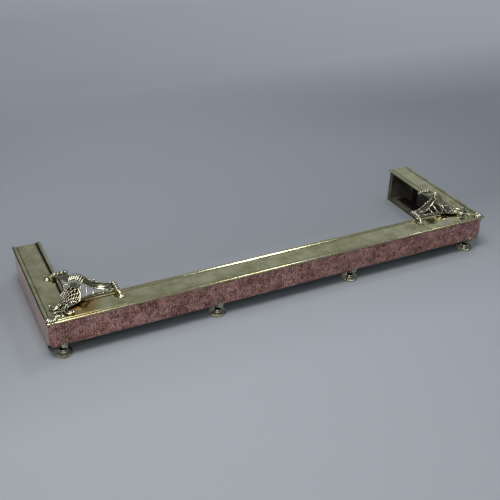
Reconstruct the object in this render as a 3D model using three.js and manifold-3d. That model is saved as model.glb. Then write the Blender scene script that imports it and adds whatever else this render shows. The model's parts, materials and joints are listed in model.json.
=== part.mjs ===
// Three-sided brass and copper kerb fender for a hearth.
// Millimetres, +Z up. The front rail runs along X and faces -Y, the two returns run back along +Y.
// The origin is on the hearth, under the middle of the overall box.
import * as THREE from 'three';
import { mergeVertices } from 'three/addons/utils/BufferGeometryUtils.js';
import Module from 'manifold-3d';

const wasm = await Module();
wasm.setup();

// Driving dimensions of the whole fender
const railLength = 1350; // brass outer edge to outer edge along the front
const railDepth = 400; // brass front edge to the cut back ends of the returns
const railWidth = 80; // width of the brass top
const plateTop = 112; // height of the flat brass above the hearth
const frontBottom = 39.5; // lower edge of the copper front, carried on the feet
const capProud = 2; // how far a corner cap stands out past the brass edge
const gap = 0.3; // clearance between pieces that touch

// Sheet and bar sizes
const brassSheet = 2;
const copperSheet = 1.2;
const setBack = 4; // copper face behind the brass edge
const barThickness = 3;
const flangeWidth = 15; // copper flange trapped under the brass top
const panWidth = 67; // floor of a return, folded in from its outer wall
const cornerRadius = 8; // bend of the copper front into the sides
const bentEnd = 20; // where the bent ends of the front panel stop
const bottomFlange = 38; // front panel's lower flange, which the feet are bolted to
const panStart = 66; // front end of a return's pan, measured from the brass front edge
const wallEnd = railDepth - 3.5; // back end of a return's copper wall
const angleLeg = 20; // depth of the upper angle's upright leg
const angleWidth = 63;
const bottomAngleWidth = 34;
const bottomAngleLeg = 21;
const returnBarFrom = 9; // flat bar in the bottom of a return
const returnBarTo = 41;
const stayWidth = 20;
const frontStaysX = [-567.5, -242.5, 242.5, 567.5];
const returnStays = [130, 330];

// Rolled edges of the brass top
const rollHalfWidth = 5.5;
const rollHalfHeight = 3.3;
const rollAxis = plateTop - 0.2;

// Heights that follow
const plateUnderside = plateTop - brassSheet;
const panelTop = plateUnderside - gap;
const angleTop = panelTop - copperSheet - gap;
const angleUnderside = angleTop - barThickness;
const gussetTop = angleUnderside - gap;
const gussetUnderside = gussetTop - barThickness;
const halfLength = railLength / 2;
const frontEdge = -(railDepth + capProud) / 2 + capProud;
const ironIn = setBack + copperSheet + gap;
const panTop = copperSheet + gap;
const crestStudEnd = gussetUnderside - 6;

// Fixings
const studRadius = 2.6;
const holeRadius = 3.2;
const nutAcross = 9;
const nutHeight = 3.2;
const plateStudLine = 33; // distance of the brass top's studs from the outer edge
const frontStudSpacing = 300;
const frontStudCount = 4;
const returnStuds = [150, 260, 370];

// Feet
const footLine = 24; // foot axis behind the brass front edge
const footSpacing = 425;
const footRadius = 24.5;
const footStudRadius = 3.4;
const footStudTop = 53;
const washerHeight = 1.2;
const footNutHeight = 5;

// Crest, measured from the outer corner: u along the front, v along the return, h above the plate
const peakAt = 113;
const peakHeight = 56;
const rollAt = 199;
const rollFrom = 62;
const rollTo = 105;
const rollHeight = 11;
const crestStud = 40;
const legAt = [203, 50];

// --- solids ---

// Vertices shared, and the faces that a revolve flattens on its axis left out
function merged(geometry) {
  const bare = geometry.clone();
  bare.deleteAttribute('normal');
  bare.deleteAttribute('uv');
  const mesh = mergeVertices(bare, 1e-4);
  const faces = mesh.index.array;
  const kept = [];
  for (let i = 0; i < faces.length; i += 3) {
    const [a, b, c] = [faces[i], faces[i + 1], faces[i + 2]];
    if (a !== b && b !== c && c !== a) {
      kept.push(a, b, c);
    }
  }
  mesh.setIndex(kept);
  return mesh;
}

function solidOf(geometry) {
  const mesh = merged(geometry);
  const vertProperties = new Float32Array(mesh.attributes.position.array);
  const triVerts = new Uint32Array(mesh.index.array);
  return new wasm.Manifold(new wasm.Mesh({ numProp: 3, vertProperties, triVerts }));
}

function geometryOf(solid) {
  const mesh = solid.getMesh();
  const geometry = new THREE.BufferGeometry();
  geometry.setAttribute('position', new THREE.BufferAttribute(mesh.vertProperties, 3));
  geometry.setIndex(new THREE.BufferAttribute(mesh.triVerts, 1));
  geometry.computeVertexNormals();
  return geometry;
}

// One solid from pieces that run into each other; a pocket sealed between them is filled
function join(geometries) {
  const whole = geometries.map(solidOf).reduce((sum, piece) => sum.add(piece));
  const bodies = whole.decompose().filter((body) => body.volume() > 0);
  return geometryOf(bodies.reduce((sum, body) => sum.add(body)));
}

function cut(geometry, tools) {
  const solids = tools.map(solidOf);
  return geometryOf(solids.reduce((whole, tool) => whole.subtract(tool), solidOf(geometry)));
}

function flipFaces(geometry) {
  const faces = geometry.index.array;
  for (let i = 0; i < faces.length; i += 3) {
    const second = faces[i + 1];
    faces[i + 1] = faces[i + 2];
    faces[i + 2] = second;
  }
  return geometry;
}

function mirrored(geometry, matrix) {
  const copy = merged(geometry).applyMatrix4(matrix);
  flipFaces(copy);
  copy.computeVertexNormals();
  return copy;
}

const acrossX = new THREE.Matrix4().makeScale(-1, 1, 1);
const acrossDiagonal = new THREE.Matrix4().set(0, 1, 0, 0, 1, 0, 0, 0, 0, 0, 1, 0, 0, 0, 0, 1);

function signedVolume(geometry) {
  const p = geometry.attributes.position;
  const f = geometry.index.array;
  const [a, b, c] = [new THREE.Vector3(), new THREE.Vector3(), new THREE.Vector3()];
  let volume = 0;
  for (let i = 0; i < f.length; i += 3) {
    a.fromBufferAttribute(p, f[i]);
    b.fromBufferAttribute(p, f[i + 1]);
    c.fromBufferAttribute(p, f[i + 2]);
    volume += a.dot(b.cross(c)) / 6;
  }
  return volume;
}

// A closed skin over rings of points, all rings with the same count.
// The outline, anticlockwise, is the ring's shape in its own plane and fills the two ends.
function loft(rings, outline) {
  const sides = outline.length;
  const last = (rings.length - 1) * sides;
  const faces = [];
  for (let r = 0; r < last; r += sides) {
    for (let s = 0; s < sides; s += 1) {
      const next = (s + 1) % sides;
      faces.push(r + s, r + next, r + sides + next, r + s, r + sides + next, r + sides + s);
    }
  }
  for (const [a, b, c] of THREE.ShapeUtils.triangulateShape(outline, [])) {
    faces.push(a, c, b, last + a, last + b, last + c);
  }
  const geometry = new THREE.BufferGeometry().setFromPoints(rings.flat());
  geometry.setIndex(faces);
  if (signedVolume(geometry) < 0) {
    flipFaces(geometry);
  }
  geometry.computeVertexNormals();
  return geometry;
}

function roundOutline(sides) {
  return Array.from({ length: sides }, (_, i) => {
    const angle = (2 * Math.PI * i) / sides;
    return new THREE.Vector2(Math.cos(angle), Math.sin(angle));
  });
}

// A rod along a curve, whose radius can change along its length
function rod(points, radiusAt, steps, sides) {
  const curve = new THREE.CatmullRomCurve3(points.map((p) => new THREE.Vector3(...p)));
  const frames = curve.computeFrenetFrames(steps, false);
  const outline = roundOutline(sides);
  const rings = [];
  for (let i = 0; i <= steps; i += 1) {
    const t = i / steps;
    const centre = curve.getPointAt(t);
    const radius = typeof radiusAt === 'function' ? radiusAt(t) : radiusAt;
    rings.push(outline.map((o) => centre.clone()
      .addScaledVector(frames.normals[i], radius * o.x)
      .addScaledVector(frames.binormals[i], radius * o.y)));
  }
  return loft(rings, outline);
}

// A band between two edge curves, dished between raised rims
function band(nearPoints, farPoints, steps, thickness, rim) {
  const near = new THREE.CatmullRomCurve3(nearPoints.map((p) => new THREE.Vector3(...p)));
  const far = new THREE.CatmullRomCurve3(farPoints.map((p) => new THREE.Vector3(...p)));
  const section = [[0, -thickness], [1, -thickness], [1, rim], [0.8, 0], [0.2, 0], [0, rim]];
  const outline = section.map(([x, y]) => new THREE.Vector2(x * 20, y));
  const rings = [];
  for (let i = 0; i <= steps; i += 1) {
    const t = i / steps;
    const a = near.getPoint(t);
    const b = far.getPoint(t);
    const across = b.clone().sub(a);
    const along = near.getTangent(t).add(far.getTangent(t));
    const up = across.clone().cross(along).normalize();
    if (up.z < 0) {
      up.negate();
    }
    rings.push(section.map(([x, y]) => a.clone().addScaledVector(across, x).addScaledVector(up, y)));
  }
  return loft(rings, outline);
}

function outlineShape(points) {
  return new THREE.Shape(points.map(([x, y]) => new THREE.Vector2(x, y)));
}

function extrude(shape, depth, curveSegments = 6) {
  return new THREE.ExtrudeGeometry(shape, { depth, bevelEnabled: false, curveSegments });
}

function slab(fromX, toX, fromY, toY, fromZ, toZ) {
  const box = new THREE.BoxGeometry(toX - fromX, toY - fromY, toZ - fromZ);
  box.translate((fromX + toX) / 2, (fromY + toY) / 2, (fromZ + toZ) / 2);
  return box;
}

function post(x, y, fromZ, toZ, radius, sides = 8) {
  const cylinder = new THREE.CylinderGeometry(radius, radius, toZ - fromZ, sides);
  cylinder.rotateX(Math.PI / 2);
  cylinder.translate(x, y, (fromZ + toZ) / 2);
  return cylinder;
}

// A nut or washer standing on z = 0 round its own axis, clear of the stud all round
function ring(radius, sides, height, stud) {
  const boreSides = 6;
  const bore = (stud + gap) / Math.cos(Math.PI / boreSides);
  return cut(post(0, 0, 0, height, radius, sides), [post(0, 0, -1, height + 1, bore, boreSides)]);
}

// A bar of one section along X, whose ends follow the distance v from the outer edge
function sectionBar(shape, startAt, endAt, curveSegments = 6) {
  const bar = extrude(shape, 1, curveSegments);
  const p = bar.attributes.position;
  for (let i = 0; i < p.count; i += 1) {
    const v = p.getX(i);
    const z = p.getY(i);
    const t = p.getZ(i);
    p.setXYZ(i, THREE.MathUtils.lerp(startAt(v), endAt(v), t), v, z);
  }
  return bar;
}

// The three runs of the kerb share one section, mitred at the front corners
const mitreGap = gap / Math.SQRT2;

function frontRun(shape, curveSegments) {
  const bar = sectionBar(shape, (v) => v + mitreGap, (v) => railLength - v - mitreGap, curveSegments);
  return bar.translate(-halfLength, frontEdge, 0);
}

function leftRun(shape, backEnd, curveSegments) {
  const bar = sectionBar(shape, () => -backEnd, (v) => -v - mitreGap, curveSegments);
  return bar.rotateZ(-Math.PI / 2).translate(-halfLength, frontEdge, 0);
}

// A return piece made for the left side is reflected for the right
function bothSides(geometry) {
  return { left: geometry, right: mirrored(geometry, acrossX) };
}

// --- materials ---

const finishes = {
  brass: { color: '#a8965a', roughness: 0.32, metalness: 1 },
  castBrass: { color: '#b39a55', roughness: 0.4, metalness: 1 },
  copper: { color: '#8a6258', roughness: 0.5, metalness: 1 },
  iron: { color: '#3b3835', roughness: 0.75, metalness: 0.6 },
  steel: { color: '#6d6a66', roughness: 0.5, metalness: 0.9 },
};

const fender = new THREE.Group();

function addPiece(name, geometry, finish, parent = fender) {
  const mesh = new THREE.Mesh(geometry, new THREE.MeshStandardMaterial(finishes[finish]));
  mesh.name = name;
  parent.add(mesh);
  return mesh;
}

// --- brass top: flat sheet with a rolled edge on both sides, hooked over the copper ---

function topSection() {
  const lipStart = THREE.MathUtils.degToRad(238);
  const lipEnd = THREE.MathUtils.degToRad(302);
  const lipHeight = rollAxis + rollHalfHeight * Math.sin(lipStart);
  const grooveDepth = 0.4;
  const shape = new THREE.Shape();
  shape.moveTo(setBack - gap, plateUnderside);
  shape.lineTo(setBack - gap, lipHeight);
  shape.absellipse(rollHalfWidth, rollAxis, rollHalfWidth, rollHalfHeight, lipStart, 0, true);
  shape.lineTo(2 * rollHalfWidth + 1.2, plateTop - grooveDepth);
  shape.lineTo(2 * rollHalfWidth + 2.6, plateTop);
  shape.lineTo(railWidth - 2 * rollHalfWidth - 2.6, plateTop);
  shape.lineTo(railWidth - 2 * rollHalfWidth - 1.2, plateTop - grooveDepth);
  shape.absellipse(railWidth - rollHalfWidth, rollAxis, rollHalfWidth, rollHalfHeight, Math.PI,
    lipEnd - 2 * Math.PI, true);
  shape.lineTo(railWidth - setBack + gap, lipHeight);
  shape.lineTo(railWidth - setBack + gap, plateUnderside);
  return shape;
}

// A stud soldered under the brass, with a shoulder that stands on the iron frame
function plateStud(x, y) {
  return [
    post(x, y, angleTop + gap, plateUnderside + 0.5, 5),
    post(x, y, angleUnderside - nutHeight - 2.5, angleTop + gap + 0.5, studRadius, 6),
  ];
}

const frontStudsX = Array.from({ length: frontStudCount }, (_, i) => (
  (i - (frontStudCount - 1) / 2) * frontStudSpacing));
const frontStudY = frontEdge + plateStudLine;
const leftStudX = -halfLength + plateStudLine;

// Holes through the brass and the iron for the crest's own studs, at the left corner
const crestHoles = [[crestStud, crestStud], legAt, [legAt[1], legAt[0]]].map(([u, v]) => (
  [-halfLength + u, frontEdge + v]));

function crestHoleTools(fromZ, toZ) {
  return crestHoles.flatMap(([x, y]) => [post(x, y, fromZ, toZ, holeRadius), post(-x, y, fromZ, toZ, holeRadius)]);
}

function addTop() {
  const studs = frontStudsX.flatMap((x) => plateStud(x, frontStudY));
  const front = cut(join([frontRun(topSection()), ...studs]), crestHoleTools(plateUnderside - 2, plateTop + 2));
  addPiece('top_plate_front', front, 'brass');
  const sideStuds = returnStuds.flatMap((distance) => plateStud(leftStudX, frontEdge + distance));
  const left = cut(join([leftRun(topSection(), railDepth), ...sideStuds]),
    crestHoleTools(plateUnderside - 2, plateTop + 2));
  const sides = bothSides(left);
  addPiece('top_plate_left', sides.left, 'brass');
  addPiece('top_plate_right', sides.right, 'brass');
}

// --- iron frame under the top: angle bar mitred at the corners, with a gusset under each joint ---

function angleSection() {
  return outlineShape([
    [ironIn, angleTop],
    [ironIn + angleWidth, angleTop],
    [ironIn + angleWidth, angleUnderside],
    [ironIn + barThickness, angleUnderside],
    [ironIn + barThickness, angleTop - angleLeg],
    [ironIn, angleTop - angleLeg],
  ]);
}

// The bent corners of the copper front need the frame's corners cut off
function cornerTrims() {
  const across = setBack + cornerRadius + 5;
  const prism = extrude(outlineShape([[-1, -1], [across + 1, -1], [-1, across + 1]]), angleLeg + 2);
  prism.translate(-halfLength, frontEdge, angleTop - angleLeg - 1);
  return [prism, mirrored(prism, acrossX)];
}

function addTopFrame() {
  const throughFrame = (x, y) => post(x, y, angleUnderside - 2, angleTop + 2, holeRadius);
  const crestTools = crestHoleTools(angleUnderside - 2, angleTop + 2);
  const front = cut(frontRun(angleSection()), [
    ...frontStudsX.map((x) => throughFrame(x, frontStudY)), ...crestTools, ...cornerTrims()]);
  addPiece('top_angle_front', front, 'iron');
  const backEnd = railDepth - 5;
  const left = cut(leftRun(angleSection(), backEnd), [
    ...returnStuds.map((distance) => throughFrame(leftStudX, frontEdge + distance)),
    ...crestTools, ...cornerTrims()]);
  const angles = bothSides(left);
  addPiece('top_angle_left', angles.left, 'iron');
  addPiece('top_angle_right', angles.right, 'iron');

  const inner = ironIn + barThickness + gap + 2;
  const reach = 92;
  const gussetShape = outlineShape([[inner, inner], [reach, inner], [reach, 30], [30, reach], [inner, reach]]);
  const plate = extrude(gussetShape, barThickness).translate(-halfLength, frontEdge, gussetUnderside);
  const gussets = bothSides(cut(plate, crestHoleTools(gussetUnderside - 2, gussetTop + 2)));
  addPiece('corner_gusset_left', gussets.left, 'iron');
  addPiece('corner_gusset_right', gussets.right, 'iron');
}

// --- copper casing ---

const feetX = [-1.5, -0.5, 0.5, 1.5].map((i) => i * footSpacing);
const footY = frontEdge + footLine;

// The front wraps round both corners and is flanged inwards, top and bottom
function addFrontPanel() {
  const wallOutline = (inset) => {
    const side = halfLength - setBack - inset;
    const face = frontEdge + setBack + inset;
    const radius = cornerRadius - inset;
    return { side, face, radius };
  };
  const outer = wallOutline(0);
  const inner = wallOutline(copperSheet);
  const wall = new THREE.Shape();
  wall.moveTo(-outer.side, frontEdge + bentEnd);
  wall.absarc(-outer.side + outer.radius, outer.face + outer.radius, outer.radius, Math.PI, 1.5 * Math.PI);
  wall.absarc(outer.side - outer.radius, outer.face + outer.radius, outer.radius, 1.5 * Math.PI, 2 * Math.PI);
  wall.lineTo(outer.side, frontEdge + bentEnd);
  wall.lineTo(inner.side, frontEdge + bentEnd);
  wall.absarc(inner.side - inner.radius, inner.face + inner.radius, inner.radius, 0, -0.5 * Math.PI, true);
  wall.absarc(-inner.side + inner.radius, inner.face + inner.radius, inner.radius, -0.5 * Math.PI, -Math.PI, true);
  wall.lineTo(-inner.side, frontEdge + bentEnd);
  // a flange deeper than the bent ends steps in to pass between the return walls
  const flange = (width) => {
    const side = width > bentEnd - setBack ? inner.side - gap : outer.side - 0.01;
    const shape = new THREE.Shape();
    shape.moveTo(-side, outer.face + width);
    shape.lineTo(-side, frontEdge + bentEnd - 1);
    shape.lineTo(-outer.side, frontEdge + bentEnd - 1);
    shape.absarc(-outer.side + outer.radius, outer.face + outer.radius, outer.radius, Math.PI, 1.5 * Math.PI);
    shape.absarc(outer.side - outer.radius, outer.face + outer.radius, outer.radius, 1.5 * Math.PI, 2 * Math.PI);
    shape.lineTo(outer.side, frontEdge + bentEnd - 1);
    shape.lineTo(side, frontEdge + bentEnd - 1);
    shape.lineTo(side, outer.face + width);
    return extrude(shape, copperSheet, 4);
  };
  const panel = join([
    extrude(wall, panelTop - frontBottom, 4).translate(0, 0, frontBottom),
    flange(flangeWidth).translate(0, 0, panelTop - copperSheet),
    flange(bottomFlange).translate(0, 0, frontBottom),
  ]);
  const studHoles = feetX.map((x) => post(x, footY, frontBottom - 2, frontBottom + 4, footStudRadius + 0.6));
  addPiece('front_panel', cut(panel, studHoles), 'copper');
}

// A return's casing: outer wall, top flange and floor pan from one sheet.
// Near the front corner the lower edge sweeps up in an ogee to the level of the raised front.

function addReturnPanels() {
  const wallStart = bentEnd + gap;
  const wall = new THREE.Shape();
  wall.moveTo(wallStart, panelTop);
  wall.lineTo(wallEnd, panelTop);
  wall.lineTo(wallEnd, 0);
  wall.lineTo(panStart, 0);
  wall.bezierCurveTo(panStart - 14, 0, panStart - 12, 14, panStart - 22, 19);
  wall.bezierCurveTo(panStart - 34, 24, wallStart + 6, frontBottom, wallStart, frontBottom);
  const sheet = extrude(wall, copperSheet, 6);
  // drawn as (distance, height) and turned to stand on the outer line of the return
  sheet.applyMatrix4(new THREE.Matrix4().set(0, 0, 1, setBack, 1, 0, 0, 0, 0, 1, 0, 0, 0, 0, 0, 1));
  const hem = 7;
  const panInner = setBack + panWidth;
  const panel = join([
    sheet,
    slab(setBack, setBack + flangeWidth, wallStart, wallEnd, panelTop - copperSheet, panelTop),
    slab(setBack, panInner, panStart, wallEnd, 0, copperSheet),
    slab(panInner - copperSheet, panInner, panStart, wallEnd, 0, hem),
    slab(setBack, panInner, panStart, panStart + copperSheet, 0, hem),
  ]);
  panel.translate(-halfLength, frontEdge, 0);
  const panels = bothSides(panel);
  addPiece('left_panel', panels.left, 'copper');
  addPiece('right_panel', panels.right, 'copper');
}

// Closed back end of a return, with flanges turned forward inside the wall and on the pan
function addEndPlates() {
  const back = wallEnd + gap;
  const turned = back - 12;
  const inner = ironIn;
  const edge = setBack + panWidth - copperSheet - gap;
  const floor = copperSheet + gap;
  const plate = join([
    slab(setBack, setBack + panWidth, back, back + copperSheet, 0, panelTop),
    slab(inner, inner + copperSheet, turned, back + 0.5, floor, angleTop - angleLeg - 2),
    slab(inner, edge, turned, back + 0.5, floor, floor + copperSheet),
    slab(edge - copperSheet, edge, turned, back + 0.5, floor, angleUnderside - 4),
  ]);
  plate.translate(-halfLength, frontEdge, 0);
  const plates = bothSides(plate);
  addPiece('left_end_plate', plates.left, 'copper');
  addPiece('right_end_plate', plates.right, 'copper');
}

// --- iron frame at the bottom, and the stays that tie it to the top ---

const bottomAngleFrom = frontBottom + copperSheet + gap;
const bottomAngleTop = bottomAngleFrom + barThickness;

function addBottomFrame() {
  const section = outlineShape([
    [ironIn, bottomAngleFrom],
    [ironIn + bottomAngleWidth, bottomAngleFrom],
    [ironIn + bottomAngleWidth, bottomAngleTop],
    [ironIn + barThickness, bottomAngleTop],
    [ironIn + barThickness, bottomAngleFrom + bottomAngleLeg],
    [ironIn, bottomAngleFrom + bottomAngleLeg],
  ]);
  const endClear = 14;
  const angle = sectionBar(section, () => endClear, () => railLength - endClear);
  angle.translate(-halfLength, frontEdge, 0);
  const holes = feetX.map((x) => post(x, footY, bottomAngleFrom - 1, bottomAngleTop + 1, footStudRadius + 0.6));
  addPiece('bottom_angle_front', cut(angle, holes), 'iron');

  const bar = slab(returnBarFrom, returnBarTo, panStart + 6, wallEnd - 18, panTop, panTop + barThickness);
  bar.translate(-halfLength, frontEdge, 0);
  const bars = bothSides(bar);
  addPiece('bottom_bar_left', bars.left, 'iron');
  addPiece('bottom_bar_right', bars.right, 'iron');
}

// A flat iron stay with its two ends turned in, drawn as (v, height)
function stayShape(from, reach, bottom, top) {
  return outlineShape([
    [from, bottom],
    [from + reach, bottom],
    [from + reach, bottom + barThickness],
    [from + barThickness, bottom + barThickness],
    [from + barThickness, top - barThickness],
    [from + reach, top - barThickness],
    [from + reach, top],
    [from, top],
  ]);
}

function addStays() {
  const behindLegs = ironIn + barThickness + gap;
  const bar = (x, shape) => sectionBar(shape, () => x - stayWidth / 2, () => x + stayWidth / 2);
  const frontShape = stayShape(behindLegs, 21, bottomAngleTop + gap, gussetTop);
  frontStaysX.forEach((x, i) => {
    const stay = bar(x, frontShape).translate(0, frontEdge, 0);
    addPiece(`front_stay_${i + 1}`, stay, 'iron');
  });
  const returnShape = stayShape(returnBarFrom, 21, panTop + barThickness + gap, gussetTop);
  returnStays.forEach((distance, i) => {
    const stay = bar(-distance, returnShape).rotateZ(-Math.PI / 2).translate(-halfLength, frontEdge, 0);
    const stays = bothSides(stay);
    addPiece(`left_stay_${i + 1}`, stays.left, 'iron');
    addPiece(`right_stay_${i + 1}`, stays.right, 'iron');
  });
}

// --- cast feet: ribbed disc, waist and flared cup, with a leaf lapping up over the copper ---

function footBody() {
  const base = [[0, 0], [footRadius - 1, 0], [footRadius, 2.6], [footRadius - 2.2, 6.2],
    [footRadius - 4.6, 5.8], [footRadius - 7.4, 8]];
  const waist = [[11, 11], [7.4, 16.5], [6.8, 22], [8.8, 24.6], [7.6, 27.2]];
  const cup = [[11, 32.5], [15.5, 37], [15.5, frontBottom - gap]];
  const stud = [[footStudRadius, frontBottom - gap], [footStudRadius, footStudTop], [0, footStudTop]];
  const profile = [...base, ...waist, ...cup, ...stud].map(([r, z]) => new THREE.Vector2(r, z));
  return new THREE.LatheGeometry(profile, 12).rotateX(Math.PI / 2);
}

function footLeaf() {
  const leafThickness = 2.6;
  const leaf = new THREE.Shape();
  leaf.moveTo(-9, 33);
  leaf.quadraticCurveTo(-12, 41, -6.5, 46);
  leaf.quadraticCurveTo(-2.5, 50, 0, 57);
  leaf.quadraticCurveTo(2.5, 50, 6.5, 46);
  leaf.quadraticCurveTo(12, 41, 9, 33);
  const blade = extrude(leaf, leafThickness, 3);
  // drawn as (x, height) and stood in front of the copper face
  blade.applyMatrix4(new THREE.Matrix4().set(1, 0, 0, 0, 0, 0, -1, setBack - gap - footLine, 0, 1, 0, 0, 0, 0, 0, 1));
  const neck = slab(-6, 6, setBack - gap - leafThickness + 0.4 - footLine, -8, 33.4, frontBottom - gap);
  return [blade, neck];
}

function addFeet() {
  const foot = join([footBody(), ...footLeaf()]);
  feetX.forEach((x, i) => {
    const mesh = addPiece(`foot_${i + 1}`, foot, 'castBrass');
    mesh.position.set(x, footY, 0);
  });
  const washerTop = bottomAngleTop + gap + washerHeight;
  const washer = ring(7, 8, washerHeight, footStudRadius);
  const nut = ring(6.6, 6, footNutHeight, footStudRadius);
  feetX.forEach((x, i) => {
    addPiece(`foot_washer_${i + 1}`, washer, 'steel').position.set(x, footY, washerTop - washerHeight);
    addPiece(`foot_nut_${i + 1}`, nut, 'steel').position.set(x, footY, washerTop + gap);
  });
}

// --- crests: openwork castings on the two front corners ---

// Everything below is drawn at the left corner as (u, v, h) and is alike on both sides of the diagonal.
function crestLeaf() {
  const centre = 40;
  const leaf = new THREE.Shape();
  const points = Array.from({ length: 20 }, (_, i) => {
    const angle = (2 * Math.PI * i) / 20;
    const radius = 20 + 3.6 * Math.cos(5 * (angle - Math.PI / 4) + Math.PI);
    return new THREE.Vector2(centre + radius * Math.cos(angle), centre + radius * Math.sin(angle));
  });
  leaf.setFromPoints(points);
  return extrude(leaf, 3.4).translate(0, 0, gap);
}

// The fan: ribs that spring from the leaf and spread to the foot of the palmette
function crestFan() {
  const hub = [38, 38, 3];
  const edge = new THREE.CatmullRomCurve3([[92, 64, 9], [101, 80, 25], [98, 98, 32], [80, 101, 25], [64, 92, 9]]
    .map((p) => new THREE.Vector3(...p)));
  const count = 5;
  const ribs = [];
  for (let i = 0; i < count; i += 1) {
    const end = edge.getPoint(i / (count - 1));
    const middle = end.clone().lerp(new THREE.Vector3(...hub), 0.5);
    middle.z = 3 + (end.z - 3) * 0.32;
    ribs.push(rod([hub, middle.toArray(), end.toArray()], (t) => 3.4 - 1.2 * t, 2, 4));
  }
  const share = 0.66;
  const crossing = Array.from({ length: 5 }, (_, i) => {
    const end = edge.getPoint(i / 4);
    const point = end.clone().lerp(new THREE.Vector3(...hub), 1 - share);
    point.z = 3 + (end.z - 3) * share * share * 1.15;
    return point.toArray();
  });
  const rim = Array.from({ length: 7 }, (_, i) => edge.getPoint(i / 6).toArray());
  return [...ribs, rod(crossing, 1.9, 4, 4), rod(rim, 2.8, 6, 4)];
}

// The palmette: lobes that lean in over the hearth and stand up to the peak
function crestPalmette() {
  const lobes = 5;
  const spread = THREE.MathUtils.degToRad(58);
  const root = new THREE.Vector3(96, 96, 27);
  const inward = new THREE.Vector3(1, 1, 0).normalize();
  const along = new THREE.Vector3(1, -1, 0).normalize();
  const up = new THREE.Vector3(0, 0, 1);
  const lean = (peakAt - 96) * Math.SQRT2;
  const pieces = [];
  for (let i = 0; i < lobes; i += 1) {
    const angle = spread * ((2 * i) / (lobes - 1) - 1);
    const rise = Math.cos(angle);
    const side = Math.sin(angle);
    const length = peakHeight - 27 - 4;
    const at = (t) => root.clone()
      .addScaledVector(up, length * rise * t)
      .addScaledVector(along, length * side * t * 1.1)
      .addScaledVector(inward, lean * t * t * rise - 3 * (1 - t));
    const points = [0, 0.35, 0.7, 1].map((t) => at(t).toArray());
    pieces.push(rod(points, (t) => 3 + 2.8 * Math.sin(Math.PI * (0.12 + 0.72 * t)), 3, 5));
  }
  return pieces;
}

// One wing: a dished band that swoops from the palmette down to a beaded roll over the brass edge
function crestWing() {
  const near = [[104, 96, 45], [116, 99, 35], [130, 96, 22], [148, 90, 12], [170, 80, 10], [199, 68, 11]];
  const far = [[114, 108, 51], [124, 108, 43], [138, 107, 31], [152, 105, 25], [172, 101, 19], [199, 99, 13]];
  const swoop = band(near, far, 7, 1.6, 1.7);
  const beadCount = 3;
  const beadPitch = (rollTo - rollFrom) / beadCount;
  const profile = [[0, rollFrom]];
  for (let i = 0; i < beadCount; i += 1) {
    const start = rollFrom + i * beadPitch;
    profile.push([4.8, start + 0.3], [6.6, start + beadPitch * 0.5]);
  }
  profile.push([4.8, rollTo - 0.3], [0, rollTo]);
  const roll = new THREE.LatheGeometry(profile.map(([r, y]) => new THREE.Vector2(r, y)), 8);
  roll.translate(rollAt, 0, rollHeight);
  const [legU, legV] = legAt;
  const legProfile = [[0, gap], [9.5, gap], [9.5, 2.2], [3.8, 5], [3.8, rollHeight - 2], [0, rollHeight]];
  const leg = new THREE.LatheGeometry(legProfile.map(([r, y]) => new THREE.Vector2(r, y)), 8);
  leg.rotateX(Math.PI / 2).translate(legU, legV, 0);
  const legTie = rod([[legU, legV, rollHeight - 4], [legU, legV + 6, rollHeight - 2], [rollAt, rollFrom + 5, rollHeight]],
    3.4, 2, 5);
  const knobs = [[140, 107.5, 33], [151, 106, 28]].map(([u, v, h]) => (
    new THREE.SphereGeometry(3.2, 5, 4).translate(u, v, h)));
  return [swoop, roll, leg, legTie, ...knobs];
}

// The scroll that edges the crest on the brass, and rises into a low rib beside the wing
function crestScroll() {
  const outer = [[73, 24, 3], [65, 22.5, 3], [57, 26, 3.5], [53, 36, 5], [56, 48, 6.5], [72, 61, 7], [102, 71, 6],
    [150, 78, 6.5], [200, 77, 8]];
  const inner = [[73, 28, 3], [67, 28, 3], [62.5, 30.5, 3.5], [61, 37, 5], [64, 45, 6.5], [77, 54.5, 7], [104, 65, 6],
    [151, 72, 6], [200, 70, 8]];
  return [band(inner, outer, 10, 1.6, 1.4), new THREE.SphereGeometry(3.2, 5, 4).translate(73.5, 26, 3.6)];
}

// Small balusters between the low rib and the wing
function crestBalusters() {
  return [[106, 69, 112, 97, 37], [121, 71, 127, 95.5, 23], [137, 73, 142, 91, 14]].map(([u, v, topU, topV, topH]) => (
    rod([[u, v, 6], [(u + topU) / 2, (v + topV) / 2, 2 + topH / 2], [topU, topV, topH]],
      (t) => 1.6 + 1.1 * Math.sin(Math.PI * t), 2, 4)));
}

function crestStuds() {
  return [[crestStud, crestStud], legAt, [legAt[1], legAt[0]]].map(([u, v]) => (
    post(u, v, crestStudEnd - plateTop, 1.5, studRadius, 8)));
}

function addCrests() {
  const oneSide = [...crestWing(), ...crestScroll(), ...crestBalusters()];
  const otherSide = oneSide.map((piece) => mirrored(piece, acrossDiagonal));
  const whole = join([crestLeaf(), ...crestFan(), ...crestPalmette(), ...oneSide, ...otherSide, ...crestStuds()]);
  const crest = cut(whole, crestClearance());
  const corners = { left: crest, right: mirrored(crest, acrossX) };
  for (const [side, sign] of [['left', -1], ['right', 1]]) {
    const mesh = addPiece(`crest_${side}`, corners[side], 'castBrass');
    mesh.position.set(sign * halfLength, frontEdge, plateTop);
  }
}

// Space that the rolled edges need under a casting: outer and inner edge on both runs, as (v, h)
function crestClearance() {
  const outerRoll = outlineShape([[-gap, -8], [11.6, -8], [11.6, 0.2], [9.4, 3.2], [1.6, 3.2], [-gap, 1]]);
  const innerRoll = outlineShape([[railWidth - 11.6, -8], [railWidth + gap, -8], [railWidth + gap, 1],
    [railWidth - 1.6, 3.2], [railWidth - 9.4, 3.2], [railWidth - 11.6, 0.2]]);
  const reach = 260;
  return [outerRoll, innerRoll].flatMap((shape) => {
    const run = sectionBar(shape, (v) => v - 0.01, () => reach);
    return [run, mirrored(run, acrossDiagonal)];
  });
}

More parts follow.
